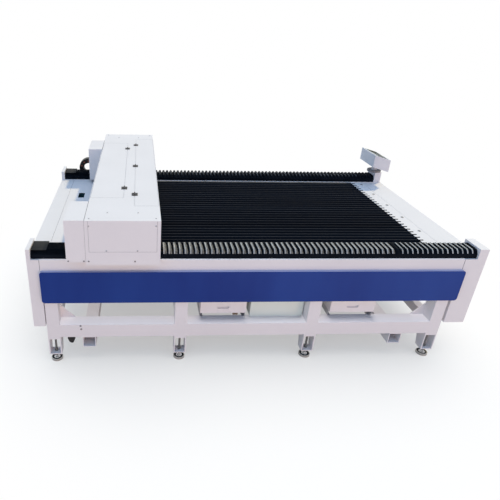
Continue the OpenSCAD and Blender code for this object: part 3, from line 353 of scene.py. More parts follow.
# Finishes of the record's slots, then those of single faces, a few whole nodes and added pieces.
FINISHES = {
    "white_paint": dict(dark=(0.780, 0.750, 0.760), light=(0.810, 0.780, 0.790), rough=(0.40, 0.50),
                        specular=0.25, cloud=1.6, grain=420, relief=0.05),
    # Painted reflection along with the paint's own uneven tone: the blues vary in large clouds drawn out
    # upright, for the reflection streaks on the panels.
    "blue_paint": dict(dark=(0.008, 0.030, 0.195), light=(0.016, 0.056, 0.275), rough=(0.26, 0.36),
                       specular=0.12, cloud=1.2, grain=300, relief=0.04, stretch=(1, 1, 0.3)),
    "bellows_cloth": dict(dark=(0.003, 0.005, 0.009), light=(0.006, 0.009, 0.015), rough=(0.55, 0.7),
                          specular=0.03, cloud=9, grain=1500, relief=0.3),
    "slat_metal": dict(dark=(0.007, 0.009, 0.014), light=(0.013, 0.017, 0.025), rough=(0.6, 0.75),
                       specular=0.03, cloud=6, grain=500, relief=0.12, stretch=(0.03, 1, 1)),
    "dark_steel": dict(dark=(0.006, 0.006, 0.007), light=(0.014, 0.014, 0.016), rough=(0.7, 0.85),
                       specular=0.15, cloud=5),
    "bright_steel": dict(dark=(0.42, 0.42, 0.43), light=(0.60, 0.60, 0.61), rough=(0.25, 0.42),
                         metallic=0.9, cloud=24, grain=700),
    "beam_metal": dict(dark=(0.55, 0.55, 0.57), light=(0.66, 0.66, 0.68), rough=(0.3, 0.4), metallic=0.9,
                       cloud=8, stretch=(1, 0.05, 1)),
    "foot_rubber": dict(dark=(0.33, 0.31, 0.28), light=(0.45, 0.43, 0.39), rough=(0.45, 0.6), cloud=30),
    "black_plastic": dict(dark=(0.008, 0.008, 0.010), light=(0.016, 0.016, 0.018), rough=(0.4, 0.55),
                          specular=0.3, cloud=20),
    "hinge_metal": dict(dark=(0.012, 0.012, 0.014), light=(0.028, 0.028, 0.032), rough=(0.35, 0.5),
                        specular=0.3, cloud=60),
    "motor_metal": dict(dark=(0.018, 0.018, 0.02), light=(0.035, 0.035, 0.04), rough=(0.35, 0.5), cloud=20),
    "head_metal": dict(dark=(0.30, 0.02, 0.025), light=(0.42, 0.035, 0.04), rough=(0.25, 0.35),
                       metallic=0.8, cloud=20),
    # Painted shade: the control box's blue-grey, darker than the white paint, stands for the shade and blue
    # sky light on it.
    "control_shell": dict(dark=(0.66, 0.68, 0.73), light=(0.72, 0.74, 0.79), rough=(0.35, 0.45),
                          specular=0.3, cloud=6, grain=420, relief=0.05),
    "keypad": dict(dark=(0.40, 0.43, 0.42), light=(0.48, 0.51, 0.50), rough=(0.4, 0.5), specular=0.2,
                   cloud=40),

    # Painted highlight: paler grey on the slats' upward faces.
    "slat_top_painted_highlight": dict(dark=(0.028, 0.030, 0.038), light=(0.050, 0.054, 0.066), rough=(0.5, 0.65),
                      specular=0.05, cloud=6, stretch=(0.03, 1, 1)),
    "comb_steel": dict(dark=(0.03, 0.03, 0.033), light=(0.06, 0.06, 0.065), rough=(0.5, 0.65), metallic=0.3,
                       cloud=40),
    "strip_grey": dict(dark=(0.07, 0.075, 0.08), light=(0.12, 0.125, 0.135), rough=(0.45, 0.6), cloud=3),
    # Painted sheen: pale and dimmer greys on the pleats' edges, with darker copies for the far bellows,
    # paint the light on the black cloth.
    "bellows_painted_sheen": dict(dark=(0.32, 0.32, 0.31), light=(0.52, 0.52, 0.50), rough=(0.40, 0.55),
                          specular=0.3, cloud=14, grain=1500, relief=0.25),
    "bellows_dim_painted_sheen": dict(dark=(0.07, 0.07, 0.068), light=(0.20, 0.20, 0.195), rough=(0.40, 0.55),
                         specular=0.3, cloud=60, grain=1500, relief=0.25),
    "far_painted_sheen": dict(dark=(0.018, 0.021, 0.026), light=(0.115, 0.123, 0.135), rough=(0.45, 0.6),
                      specular=0.05, cloud=14, grain=1500, relief=0.25),
    "far_dim_painted_sheen": dict(dark=(0.006, 0.008, 0.012), light=(0.022, 0.025, 0.030), rough=(0.45, 0.6),
                     specular=0.03, cloud=5, grain=1500, relief=0.25),
    "fold_plate": dict(dark=(0.010, 0.012, 0.015), light=(0.018, 0.020, 0.024), rough=(0.55, 0.7),
                       specular=0.15, cloud=12),
    # Painted highlight: pale blue on the top lip of the blue panels.
    "blue_lip_painted_highlight": dict(dark=(0.34, 0.38, 0.60), light=(0.40, 0.44, 0.66), rough=(0.3, 0.4), cloud=4),
    # Painted shade: dark grey on groove bottoms, on the edges at the lids' gaps, and on the beads along
    # joints.
    "seam": dict(dark=(0.10, 0.10, 0.11), light=(0.15, 0.15, 0.16), rough=(0.6, 0.75), specular=0.2,
                 cloud=40),
    # Painted shade: paler grey on the groove bottoms of the gantry's ends.
    "pale_seam_painted_shade": dict(dark=(0.30, 0.29, 0.30), light=(0.38, 0.37, 0.38), rough=(0.6, 0.75), specular=0.2,
                      cloud=40),
    "supply_paint": dict(dark=(0.69, 0.76, 0.71), light=(0.73, 0.80, 0.75), rough=(0.40, 0.50),
                         specular=0.2, cloud=1.6, grain=420, relief=0.05),
    "key_print": dict(dark=(0.006, 0.007, 0.010), light=(0.014, 0.015, 0.020), rough=(0.6, 0.75),
                      specular=0.05, cloud=90),
    "display": dict(dark=(0.006, 0.012, 0.010), light=(0.014, 0.024, 0.020), rough=(0.5, 0.6),
                    specular=0.08, cloud=30, relief=0.02),
    # Painted shade: the swivel plate on the post is dark grey for the shade of the control box above it.
    "swivel_painted_shade": dict(dark=(0.16, 0.16, 0.17), light=(0.22, 0.22, 0.235), rough=(0.45, 0.6), cloud=40),
    # Painted highlight: near-white on the upward faces of the foot pads' dishes.
    "pad_dish_painted_highlight": dict(dark=(0.66, 0.66, 0.66), light=(0.78, 0.78, 0.77), rough=(0.35, 0.5), cloud=60),
    "pad_ring": dict(dark=(0.008, 0.011, 0.013), light=(0.018, 0.023, 0.026), rough=(0.5, 0.65),
                     specular=0.2, cloud=60),
    "stud_steel": dict(dark=(0.10, 0.11, 0.11), light=(0.19, 0.20, 0.20), rough=(0.35, 0.5), metallic=0.5,
                       cloud=90),
    "pale_zinc": dict(dark=(0.42, 0.42, 0.44), light=(0.52, 0.52, 0.54), rough=(0.35, 0.5), metallic=0.3,
                      cloud=200),
    "screw_steel": dict(dark=(0.16, 0.16, 0.18), light=(0.28, 0.28, 0.30), rough=(0.3, 0.45), metallic=0.8,
                        cloud=200),
    "washer_steel": dict(dark=(0.20, 0.22, 0.25), light=(0.30, 0.33, 0.37), rough=(0.35, 0.5), metallic=0.3,
                         cloud=200),
    "chain_pin": dict(dark=(0.20, 0.05, 0.03), light=(0.34, 0.09, 0.05), rough=(0.4, 0.55), cloud=60),
    "port_plastic": dict(dark=(0.015, 0.055, 0.075), light=(0.030, 0.090, 0.115), rough=(0.4, 0.55),
                         specular=0.3, cloud=30),
    "catch_brass": dict(dark=(0.10, 0.07, 0.045), light=(0.18, 0.13, 0.085), rough=(0.4, 0.55),
                        metallic=0.4, cloud=90),
}
MATERIALS = {}


# Glass of the laser tube: tint, clearness, roughness without and with its streaks, and the streaks' scale.
GLASS_TINT = (0.93, 0.90, 0.94)
GLASS_CLEAR = 0.7
GLASS_PLAIN_ROUGH = 0.05
GLASS_ROUGH = (0.03, 0.08)
GLASS_STREAKS = 12


def tube_glass():
    """Clear glass with a faint tint and slightly uneven gloss."""
    material, tree, shader = new_material("tube_glass", GLASS_TINT, GLASS_PLAIN_ROUGH)
    shader.inputs["Transmission Weight"].default_value = GLASS_CLEAR
    vary_roughness(tree, shader, noise_node(tree, GLASS_STREAKS, GRAIN_DETAIL), *GLASS_ROUGH)
    return material


def make_materials():
    """Every finish on the machine."""
    for name, look in FINISHES.items():
        MATERIALS[name] = surface(name, **look)
    MATERIALS["tube_glass"] = tube_glass()


# Edge radius of folded sheet, tubes and mouldings, in millimetres.
EDGE_MM = {
    "near_side_beam": 2.5, "far_side_beam": 2.5, "legs": 1.5, "lower_beams": 1.5, "near_side_panel": 3.0,
    "far_side_panel": 3.0, "near_left_cover": 1.4, "near_right_cover": 1.4, "far_left_cover": 1.4,
    "far_right_cover": 1.4, "gantry_top": 1.0, "near_drive_cover": 1.4, "far_drive_cover": 1.4,
    "control_box": 7.0, "control_post": 2.0, "power_supply_box": 1.4, "bed_slats": 0.6,
    "power_connector": 4.0, "left_drawer": 0.6, "right_drawer": 0.6,
}
EDGE_SEGMENTS = 2
SMOOTH_ANGLE = math.radians(35)

# Nodes whose finish differs from their slot's.
OWN_FINISH = {
    "table_screws": "screw_steel", "bed_strips": "strip_grey", "drawer_runners": "pale_zinc",
    "slat_combs": "comb_steel", "power_supply_box": "supply_paint", "foot_studs": "stud_steel",
}

# A face looks along an axis when its normal's share of it is past FACING, and leans to it past LEANING.
FACING = 0.9
LEANING = 0.5


def dress_nodes():
    """Each carried-over node gets its slot's finish or its own, and softened edges."""
    slots = {row["node"]: row["material_slot"] for row in frame["record"]["subparts"]}
    for name, node in nodes.items():
        node.data.materials.clear()
        node.data.materials.append(MATERIALS[OWN_FINISH.get(name, slots[name])])
        if name in EDGE_MM:
            bevel = node.modifiers.new("edges", "BEVEL")
            bevel.width = EDGE_MM[name] * MM
            bevel.segments = EDGE_SEGMENTS
            bevel.limit_method = "ANGLE"
            bevel.angle_limit = SMOOTH_ANGLE
            bevel.harden_normals = True


def paint_faces(name, finish, chosen):
    """Gives a finish to a node's faces whose centre and normal are chosen."""
    mesh = nodes[name].data
    mesh.materials.append(MATERIALS[finish])
    index = len(mesh.materials) - 1
    for face in mesh.polygons:
        if chosen(face.center, face.normal):
            face.material_index = index


def clusters(values, gap):
    """Middles of groups of numbers that lie closer together than a gap."""
    values = sorted(values)
    groups = [[values[0]]]
    for value in values[1:]:
        if value - groups[-1][-1] > gap:
            groups.append([])
        groups[-1].append(value)
    return [(group[0] + group[-1]) / 2 for group in groups]


# Feet: a distance less than that between two feet, and the radius of a pad's dish, in metres.
FOOT_APART = 0.3
PAD_DISH_R = 0.0395


def foot_places():
    """Floor points under the studs."""
    points = [vertex.co for vertex in nodes["foot_pads"].data.vertices]
    return [Vector((x, y, 0)) for x in clusters([p.x for p in points], FOOT_APART)
            for y in clusters([p.y for p in points], FOOT_APART)]


def dress_pads():
    """Painted highlight: near-white on the upward faces of the foot pads' dishes and bosses."""
    feet = foot_places()

    def off_axis(point):
        return min((Vector((point.x, point.y, 0)) - foot).length for foot in feet)

    paint_faces("foot_pads", "pad_dish_painted_highlight", lambda p, n: n.z > FACING and off_axis(p) < PAD_DISH_R)


def dress_slats():
    """Painted highlight: paler upward faces on the slats."""
    paint_faces("bed_slats", "slat_top_painted_highlight", lambda p, n: n.z > FACING)


# Control panel and post: how far the keys stand out, and the swivel plate's thickness, in metres.
KEY_RISE = 0.0015
SWIVEL_T = 0.018


def dress_controls():
    """Printed keys and a dark display on the panel, and painted shade in grey on the swivel plate at the
    post's top.
    """
    mesh = nodes["control_panel"].data
    tops = [face for face in mesh.polygons if face.normal.z > LEANING]
    up = max(tops, key=lambda face: face.area).normal.copy()
    low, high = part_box("control_panel")
    middle = (low + high) / 2
    level = max(face.center.dot(up) for face in mesh.polygons)

    def raised(point):
        return level - point.dot(up) < KEY_RISE / 2

    paint_faces("control_panel", "display", lambda p, n: raised(p) and p.y > middle.y)
    paint_faces("control_panel", "key_print", lambda p, n: raised(p) and p.y < middle.y)
    low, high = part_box("control_post")
    plate = high.z - SWIVEL_T
    paint_faces("control_post", "swivel_painted_shade", lambda p, n: p.z > plate + MM)


def add_piece(name, shape, materials, body, looks=None, smooth=True):
    """A mesh piece with its finishes, riding on a body where one is named."""
    mesh = bpy.data.meshes.new(name)
    verts, faces = shape
    mesh.from_pydata(verts, [], faces)
    for material in materials:
        mesh.materials.append(MATERIALS[material])
    if looks:
        mesh.polygons.foreach_set("material_index", looks)
    mesh.update()
    if smooth:
        mesh.shade_smooth()
        mesh.set_sharp_from_angle(angle=SMOOTH_ANGLE)
    piece = bpy.data.objects.new(name, mesh)
    bpy.context.scene.collection.objects.link(piece)
    if body:
        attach(piece, body)
    return piece


def joined(shapes):
    """One shape of several."""
    verts, faces = [], []
    for part_verts, part_faces in shapes:
        start = len(verts)
        verts += part_verts
        faces += [tuple(start + corner for corner in face) for face in part_faces]
    return verts, faces


def placed(shape, matrix):
    """A shape moved by a matrix."""
    verts, faces = shape
    return [matrix @ Vector(vert) for vert in verts], faces


def facing(at, normal):
    """Matrix that stands a shape's Z axis along a normal at a point."""
    return Matrix.Translation(at) @ Vector(normal).to_track_quat("Z", "Y").to_matrix().to_4x4()


def lathe(profile, segments=24):
    """Solid of revolution about Z through (radius, height) points from the bottom to the top."""
    verts, faces, rings = [], [], []
    for radius, height in profile:
        count = segments if radius > 0 else 1
        rings.append(range(len(verts), len(verts) + count))
        turns = [math.tau * i / segments for i in range(count)]
        verts += [Vector((radius * math.cos(turn), radius * math.sin(turn), height)) for turn in turns]
    for low, high in zip(rings, rings[1:]):
        for i in range(segments):
            j = (i + 1) % segments
            corners = [low[i % len(low)], low[j % len(low)], high[j % len(high)], high[i % len(high)]]
            faces.append(tuple(dict.fromkeys(corners)))
    return verts, faces


def stacked(levels):
    """Solid through flat outlines, each with a height, closed by the first and the last of them."""
    count = len(levels[0][0])
    verts = [Vector((x, y, z)) for outline, z in levels for x, y in outline]
    faces = [tuple(reversed(range(count))), tuple(range(len(verts) - count, len(verts)))]
    for low in range(0, len(verts) - count, count):
        high = low + count
        faces += [(low + i, low + (i + 1) % count, high + (i + 1) % count, high + i) for i in range(count)]
    return verts, faces


def block(low, high, edge):
    """Box with rounded edges."""
    solid = bmesh.new()
    bmesh.ops.create_cube(solid, size=1)
    for vert in solid.verts:
        vert.co = Vector([a + (share + 0.5) * (b - a) for a, b, share in zip(low, high, vert.co)])
    bmesh.ops.bevel(solid, geom=solid.edges[:], offset=edge, segments=EDGE_SEGMENTS, profile=0.5,
                    affect="EDGES")
    solid.verts.index_update()
    verts = [vert.co.copy() for vert in solid.verts]
    faces = [tuple(vert.index for vert in face.verts) for face in solid.faces]
    solid.free()
    return verts, faces


# Button head, as shares of its radius and height: upright side, shoulder, rim, and the socket inside it.
HEAD_SIDE = 0.35
HEAD_SHOULDER = 0.8
HEAD_RIM = 0.52
SOCKET_WALL = 0.44
SOCKET_FLOOR = 0.45


def screw_head(radius, height):
    """Button head with a socket."""
    return lathe([
        (0, 0), (radius, 0), (radius, HEAD_SIDE * height),
        (HEAD_SHOULDER * radius, HEAD_SHOULDER * height), (HEAD_RIM * radius, height),
        (SOCKET_WALL * radius, height), (SOCKET_WALL * radius, SOCKET_FLOOR * height),
        (0, SOCKET_FLOOR * height),
    ])


# Bellows cloth, in metres: plain band at the foot, depth of open and closed pleats along the top and of all
# pleats at the sides, thickness, the frame at each end and the step from it to the pleats.
BAND_H = 0.031
FOLD_DEPTH = 0.022
SHALLOW_FOLD = 0.005
SIDE_FOLD = 0.007
CLOTH_T = 0.0015
END_FRAME_L = 0.014
END_STEP = 0.001
# Flank above the band, as inset in metres and share of the rise to the top.
FLANK = [(0.003, 0.22), (0.014, 0.72), (0.027, 1.0)]
# Pleats: how many are open, the pitch of closed ones and the slack of open ones in metres, the steps along
# one, the shares of its length where it stops rising and starts to fall, and the rings before the first.
OPEN_FOLDS = 61
CLOSED_PITCH = 0.0085
FOLD_SLACK = 0.0025
FOLD_SEED = 7
FOLD_STEPS = 10
FOLD_RISE = 0.38
FOLD_CREST = 0.70
LEAD_RINGS = 2
# Shares of a pleat's length where its painted sheen starts and ends. Then, by side: finishes of that painted
# sheen and of the dimmer painted sheen on the cloth past it, pleats that get painted sheen, those that also
# get the dimmer painted sheen past the edge, a pleat left without it at the cloth's seam, and the first face
# up the flank that gets painted sheen.
SHINE_FROM = 0.28
SHINE_TO = 0.50
PLEAT_LOOKS = {
    "near": dict(finishes=("bellows_painted_sheen", "bellows_dim_painted_sheen"), shining=OPEN_FOLDS, full=45, seam=45, edge=2),
    "far": dict(finishes=("far_painted_sheen", "far_dim_painted_sheen"), shining=57, full=25, seam=None, edge=3),
}


def fold_ridge(turn):
    """Height share of a pleat along its length: rising flank, crest, falling flank."""
    if turn < FOLD_RISE:
        share = turn / FOLD_RISE
    elif turn < FOLD_CREST:
        share = 1.0
    else:
        share = (1 - turn) / (1 - FOLD_CREST)
    return share * share * (3 - 2 * share)


def bellows_section(low, high, ridge, depth):
    """Inverted trough seen along the rail, as (y, z) points from the near foot to the far foot."""
    band = low.z + BAND_H
    rise = high.z - depth * (1 - ridge) - band
    inset = SIDE_FOLD * (1 - ridge)
    flank = [(0, 0)] + [(y + inset, share) for y, share in FLANK]
    near = [(low.y, low.z)] + [(low.y + y, band + share * rise) for y, share in flank]
    far = [(high.y - y, band + share * rise) for y, share in reversed(flank)] + [(high.y, low.z)]
    return near + far


def pleat_rings(low, high, count, depth, slack):
    """Places along the rail, with the ridge's height share and the pleat's depth at each."""
    start = low.x + END_FRAME_L
    end = high.x - END_FRAME_L
    pitch = (high.x - low.x - 2 * END_FRAME_L) / count
    sags = random.Random(FOLD_SEED)
    rings = [(low.x, 1.0, depth), (start - END_STEP, 1.0, depth)]
    for fold in range(count):
        sag = depth + sags.uniform(-slack, slack) if slack else depth
        rings += [(start + (fold + step / FOLD_STEPS) * pitch, fold_ridge(step / FOLD_STEPS), sag)
                  for step in range(FOLD_STEPS)]
    return rings + [(end, 0.0, depth), (end + END_STEP, 1.0, depth), (high.x, 1.0, depth)]


def pleat_look(ring, shining, full, seam):
    """Finish of a ring of faces: 1 painted sheen on a pleat's edge, 2 dimmer painted sheen past it,
    otherwise 0.
    """
    fold, step = divmod(ring - LEAD_RINGS, FOLD_STEPS)
    share = (step + 0.5) / FOLD_STEPS
    if not 0 <= fold < shining or fold == seam or share <= SHINE_FROM:
        return 0
    if share < SHINE_TO:
        return 1
    return 2 if fold < full else 0


def apply_modifiers(piece):
    """Bakes the piece's modifiers into its mesh."""
    depsgraph = bpy.context.evaluated_depsgraph_get()
    mesh = bpy.data.meshes.new_from_object(piece.evaluated_get(depsgraph))
    piece.modifiers.clear()
    piece.data = mesh


def make_bellows(node, name, count, depth, slack=0, finishes=(), shining=0, full=0, seam=None, edge=0):
    """Pleated cover that stands for a bellows node, with painted sheen on its pleats; gives the node's box
    too.
    """
    low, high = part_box(node)
    rings = pleat_rings(low, high, count, depth, slack)
    verts, faces, looks = [], [], []
    for x, ridge, sag in rings:
        section = bellows_section(low, high, ridge, sag)
        verts += [(x, y, z) for y, z in section]
    width = len(section)
    for i in range(len(rings) - 1):
        look = pleat_look(i, shining, full, seam)
        for j in range(width - 1):
            a = i * width + j
            faces.append((a, a + 1, a + width + 1, a + width))
            looks.append(look if edge <= j <= width - 2 - edge else 0)
    piece = add_piece(name, (verts, faces), ["bellows_cloth", *finishes], None, looks)
    thick = piece.modifiers.new("thickness", "SOLIDIFY")
    thick.thickness = CLOTH_T
    thick.offset = 1
    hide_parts(node)
    apply_modifiers(piece)
    return piece, low, high


# Plate on the closed pleats: its share of their length, and its side inset, thickness and edge in metres.
PLATE_SHARE = 0.42
PLATE_INSET = 0.01
PLATE_T = 0.003
PLATE_EDGE = 0.001


def add_fold_plate(side, low, high):
    """Flat plate on the outer end of a left-hand bellows."""
    near = (low.x, low.y + PLATE_INSET, high.z - PLATE_T)
    far = (low.x + PLATE_SHARE * (high.x - low.x), high.y - PLATE_INSET, high.z + PLATE_T / 2)
    add_piece(f"{side}_fold_plate", block(near, far, PLATE_EDGE), ["fold_plate"], "base")


def dress_bellows():
    """Pleats in place of the four bellows: open on the right, riding on the base, closed on the left, with a
    plate.
    """
    for side, looks in PLEAT_LOOKS.items():
        piece, low, high = make_bellows(f"{side}_right_bellows", f"{side}_right_pleats", OPEN_FOLDS,
                                        FOLD_DEPTH, FOLD_SLACK, **looks)
        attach(piece, "base")
        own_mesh(piece)
        low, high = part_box(f"{side}_left_bellows")
        count = round((high.x - low.x) / CLOSED_PITCH)
        piece, low, high = make_bellows(f"{side}_left_bellows", f"{side}_left_pleats", count, SHALLOW_FOLD)
        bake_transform(piece)
        add_fold_plate(side, low, high)


# Screw heads in metres, and their places in millimetres along a face from its low corner. Those on the
# gantry's top stand at both of its ends.
SCREW_R = 0.006
SCREW_H = 0.0035
PLATE_SCREWS_MM = [(30, 297), (482, 299), (144, 112), (357, 112)]
SILL_SCREWS_MM = [(19, 31), (339, 30)]
TOP_SCREWS_MM = [(148, 141), (361, 140), (30, 37), (483, 42)]
COVER_SCREWS_MM = [(14, 9), (121, 9)]
BOLT_R = 0.008
BEAM_BOLTS_MM = [(159, 104), (162, 73)]


def add_screws():
    """Button heads on the gantry's ends and top, and two bolts on the near lower beam."""
    head = screw_head(SCREW_R, SCREW_H)

    def on_ends(name, places, sides=(-1, 1)):
        low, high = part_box(name)
        face_y = {-1: low.y, 1: high.y}
        return [placed(head, facing((low.x + x * MM, face_y[side], low.z + z * MM), (0, side, 0)))
                for side in sides for x, z in places]

    dark = on_ends("gantry_ends", SILL_SCREWS_MM)
    dark += on_ends("near_drive_cover", COVER_SCREWS_MM, [-1])
    dark += on_ends("far_drive_cover", COVER_SCREWS_MM, [1])
    low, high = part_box("gantry_top")
    pale = [placed(head, facing((low.x + x * MM, side_y, high.z), (0, 0, 1)))
            for x, y in TOP_SCREWS_MM for side_y in (low.y + y * MM, high.y - y * MM)]
    pale += on_ends("gantry_ends", PLATE_SCREWS_MM)
    add_piece("plate_screws", joined(pale), ["pale_zinc"], "gantry")
    add_piece("sill_screws", joined(dark), ["screw_steel"], "gantry")
    low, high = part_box("lower_beams")
    bolt = screw_head(BOLT_R, SCREW_H)
    bolts = [placed(bolt, facing((low.x + x * MM, low.y, low.z + z * MM), (0, -1, 0)))
             for x, z in BEAM_BOLTS_MM]
    add_piece("beam_bolts", joined(bolts), ["screw_steel"], "base")


# Washers under the table screws, and a distance less than that between two screws, in metres.
WASHER_R = 0.014
WASHER_TOP_R = 0.95 * WASHER_R
WASHER_T = 0.0015
SCREW_APART = 0.05


def add_washers():
    """Washers under the screws along the right table."""
    low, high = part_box("table_screws")
    washer = lathe([(0, 0), (WASHER_R, 0), (WASHER_TOP_R, WASHER_T), (0, WASHER_T)])
    rows = clusters([vertex.co.y for vertex in nodes["table_screws"].data.vertices], SCREW_APART)
    washers = [placed(washer, Matrix.Translation(((low.x + high.x) / 2, y, low.z))) for y in rows]
    add_piece("table_washers", joined(washers), ["washer_steel"], "base")


# Cable chain bend: link plates and pins on both of its sides, in metres.
LINK_COUNT = 5
LINK_BAND = 0.046
LINK_HALF_W = 0.0185
LINK_T = 0.003
LINK_PROUD = (0.0005, 0.0022)
PIN_R = 0.008
PIN_H = 0.0032
PIN_TOP_R = 0.75 * PIN_R
PIN_SIDE_H = 0.6 * PIN_H


def stadium(length, radius, steps=8):
    """Outline of a plate with round ends, from one end's centre at the origin along X."""
    arc = [math.pi * (i / steps - 0.5) for i in range(steps + 1)]
    right = [(length + radius * math.cos(turn), radius * math.sin(turn)) for turn in arc]
    left = [(-radius * math.cos(turn), -radius * math.sin(turn)) for turn in arc]
    return right + left


def add_chain_links():
    """Side plates that lap along the bend, with reddish pins at their joints."""
    low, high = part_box("cable_chain_loop")
    radius = (high.z - low.z) / 2
    axis = Vector((low.x + radius, 0, low.z + radius))
    track = radius - LINK_BAND / 2
    turns = [math.pi / 2 + math.pi * i / LINK_COUNT for i in range(LINK_COUNT + 1)]
    stops = [axis + track * Vector((math.cos(turn), 0, math.sin(turn))) for turn in turns]
    stops.insert(0, Vector((high.x - LINK_HALF_W, 0, stops[0].z)))
    pin = lathe([(0, 0), (PIN_R, 0), (PIN_R, PIN_SIDE_H), (PIN_TOP_R, PIN_H), (0, PIN_H)])
    plates, pins = [], []
    for y, side in ((low.y, -1), (high.y, 1)):
        for i, (start, end) in enumerate(zip(stops, stops[1:])):
            along = (end - start).normalized()
            out = Vector((0, side, 0))
            base = Vector((start.x, y + side * (LINK_PROUD[i % 2] - LINK_T / 2), start.z))
            turn = Matrix((along, out.cross(along), out)).transposed().to_4x4()
            outline = stadium((end - start).length, LINK_HALF_W)
            plate = stacked([(outline, 0), (outline, LINK_T)])
            plates.append(placed(plate, Matrix.Translation(base) @ turn))
        for stop in stops[1:]:
            pins.append(placed(pin, facing((stop.x, y + side * LINK_PROUD[1], stop.z), (0, side, 0))))
    add_piece("chain_link_plates", joined(plates), ["black_plastic"], "gantry")
    add_piece("chain_pins", joined(pins), ["chain_pin"], "gantry")


# Thread on the levelling studs, in metres: its section, steps in a turn, and the heights it runs between.
STUD_R = 0.008
THREAD_DEPTH = 0.00045
THREAD_PITCH = 0.003
THREAD_HALF_W = 0.42 * THREAD_PITCH
THREAD_STEPS = 14
THREAD_SPANS = [(0.030, 0.056), (0.093, 0.184)]


def thread(low_z, high_z):
    """Helical ridge with a three-sided section."""
    count = round((high_z - low_z - THREAD_PITCH) / THREAD_PITCH * THREAD_STEPS)
    section = [(STUD_R, -THREAD_HALF_W), (STUD_R + THREAD_DEPTH, 0), (STUD_R, THREAD_HALF_W)]
    verts, faces = [], []
    for i in range(count + 1):
        turn = math.tau * i / THREAD_STEPS
        z = low_z + THREAD_PITCH * (i / THREAD_STEPS + 0.5)
        verts += [Vector((radius * math.cos(turn), radius * math.sin(turn), z + dz))
                  for radius, dz in section]
    sides = len(section)
    for low in range(0, sides * count, sides):
        high = low + sides
        for j in range(sides):
            k = (j + 1) % sides
            faces.append((low + j, high + j, high + k, low + k))
    faces += [tuple(range(sides)), tuple(reversed(range(sides * count, sides * (count + 1))))]
    return verts, faces


def add_threads():
    """Threads on all the studs."""
    spans = [thread(*span) for span in THREAD_SPANS]
    turns = [placed(span, Matrix.Translation(foot)) for foot in foot_places() for span in spans]
    add_piece("stud_threads", joined(turns), ["stud_steel"], "base", smooth=False)


# Rubber ring that lies in each foot pad's dish, in metres.
RING_INNER = 0.024
RING_OUTER = 0.0392
RING_Z = (0.0165, 0.0205)
RING_EDGE = 0.001


def add_pad_rings():
    """Dark rings around the bosses of the foot pads."""
    low, high = RING_Z
    section = [
        (RING_OUTER, low), (RING_OUTER, high - RING_EDGE), (RING_OUTER - RING_EDGE, high),
        (RING_INNER + RING_EDGE, high), (RING_INNER, high - RING_EDGE), (RING_INNER, low), (RING_OUTER, low),
    ]
    rings = [placed(lathe(section), Matrix.Translation(foot)) for foot in foot_places()]
    add_piece("pad_rings", joined(rings), ["pad_ring"], "base")


# Port in the left table, in metres from the machine's left end and the frame's origin, and its plug's place
# as a share of the well's width.
PORT_X = (0.219, 0.275)
PORT_Y = (0.1375, 0.2655)
PORT_DEPTH = 0.045
PORT_LIP = 0.004
PORT_WALL = 0.002
PORT_PLUG_R = 0.012
PORT_PLUG_AT = 1 / 3


def rectangle(low, high):
    """Corners in XY between two points."""
    return [(low.x, low.y), (high.x, low.y), (high.x, high.y), (low.x, high.y)]


def add_port():
    """Moulded well under the port, with a low round plug at its bottom."""
    left = cad_bounds[0][0]
    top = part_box("left_table_sheet")[1].z - PORT_WALL
    low = Vector((left + PORT_X[0] - PORT_LIP, PORT_Y[0] - PORT_LIP, top - PORT_DEPTH))
    high = Vector((left + PORT_X[1] + PORT_LIP, PORT_Y[1] + PORT_LIP, top))
    wall = Vector((PORT_WALL, PORT_WALL, PORT_WALL))
    outer = rectangle(low, high)
    inner = rectangle(low + wall, high - wall)
    well = stacked([(outer, low.z), (outer, high.z), (inner, high.z), (inner, low.z + PORT_WALL)])
    seat = ((low.x + high.x) / 2, low.y + (high.y - low.y) * PORT_PLUG_AT, low.z + PORT_WALL)
    plug = placed(screw_head(PORT_PLUG_R, PORT_PLUG_R), Matrix.Translation(seat))
    add_piece("port_well", joined([well, plug]), ["port_plastic"], "base")


# Catch under the left drawer's front, from the drawer's low corner, in metres.
CATCH_X = (0.258, 0.300)
CATCH_DROP = 0.020
CATCH_D = 0.012
CATCH_EDGE = 0.002


def add_catch():
    """Turned-down catch with a round pivot under the left drawer's front edge."""
    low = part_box("left_drawer")[0]
    tongue = block((low.x + CATCH_X[0], low.y + CATCH_EDGE, low.z - CATCH_DROP),
                   (low.x + CATCH_X[1], low.y + CATCH_D, low.z + MM), CATCH_EDGE)
    pivot = placed(screw_head(SCREW_R, SCREW_H), facing(
        (low.x + sum(CATCH_X) / 2, low.y + CATCH_EDGE, low.z - CATCH_DROP / 2), (0, -1, 0)))
    add_piece("drawer_catch", joined([tongue, pivot]), ["catch_brass"], "left_drawer")


# Dark beads that paint the shade lines at the seams between sheets: width and height, and the depths that a
# groove's bottom, painted with shade, lies between, in metres.
SEAM_W = 0.003
SEAM_PROUD = 0.0004
GROOVE_DEPTHS = (0.0004, 0.0019)


def in_groove(depth):
    """Whether a face at a depth below its sheet is the bottom of a shallow groove."""
    return GROOVE_DEPTHS[0] < depth < GROOVE_DEPTHS[1]


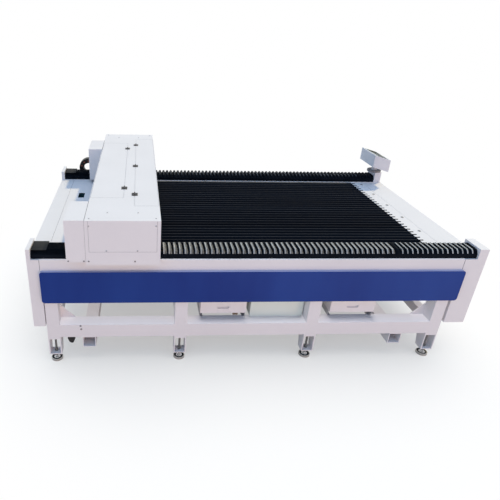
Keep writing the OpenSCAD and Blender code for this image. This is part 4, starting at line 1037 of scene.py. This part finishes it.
def dress_seams():
    """Painted shade in grey on groove bottoms and sheet edges, and a painted highlight on the blue panels'
    lip.
    """
    low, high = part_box("gantry_ends")
    paint_faces("gantry_ends", "pale_seam_painted_shade", lambda p, n: (n.y < -FACING and in_groove(p.y - low.y))
                or (n.y > FACING and in_groove(high.y - p.y)))
    for name in ("left_table_sheet", "right_table_sheet"):
        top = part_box(name)[1].z
        paint_faces(name, "seam", lambda p, n: n.z > FACING and in_groove(top - p.z))
    for name in ("left_lid", "right_lid"):
        paint_faces(name, "seam", lambda p, n: abs(n.z) < LEANING)
    low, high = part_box("gantry_top")
    paint_faces("gantry_top", "seam", lambda p, n: abs(n.z) < LEANING
                and low.x + MM < p.x < high.x - MM and low.y + MM < p.y < high.y - MM)
    for name in ("near_side_panel", "far_side_panel"):
        paint_faces(name, "blue_lip_painted_highlight", lambda p, n: n.z > LEANING)


def strip(low, high):
    """Thin dark bead between two corners, which paints a shade line."""
    return block(low, high, SEAM_PROUD / 2)


def add_seams():
    """Painted shade lines as dark beads along the joints of drive covers and housing, and of end covers and
    beams.
    """
    beads = []
    for side, sign in (("near", -1), ("far", 1)):
        low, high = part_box(f"{side}_drive_cover")
        x0, x1 = high.x - SEAM_W / 2, high.x + SEAM_W / 2
        beads.append(strip((x0, low.y, high.z - SEAM_PROUD), (x1, high.y, high.z + SEAM_PROUD)))
        face = low.y if sign < 0 else high.y
        beads.append(strip((x0, face - SEAM_PROUD, low.z), (x1, face + SEAM_PROUD, high.z)))
    add_piece("drive_cover_shade_beads", joined(beads), ["seam"], "gantry")
    beads = []
    for side, sign in (("near", -1), ("far", 1)):
        low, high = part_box(f"{side}_side_beam")
        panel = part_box(f"{side}_side_panel")[1].z
        face = low.y if sign < 0 else high.y
        for x in (low.x, high.x):
            foot = (x - SEAM_W / 2, face - SEAM_PROUD, panel)
            head = (x + SEAM_W / 2, face + SEAM_PROUD, high.z)
            beads.append(strip(foot, head))
    add_piece("end_cover_shade_beads", joined(beads), ["seam"], "base")


make_camera()
make_stage()
make_materials()
dress_nodes()
dress_pads()
dress_slats()
dress_controls()
dress_seams()
add_seams()
dress_bellows()
add_screws()
add_washers()
add_chain_links()
add_threads()
add_pad_rings()
add_port()
add_catch()

bpy.context.view_layer.update()
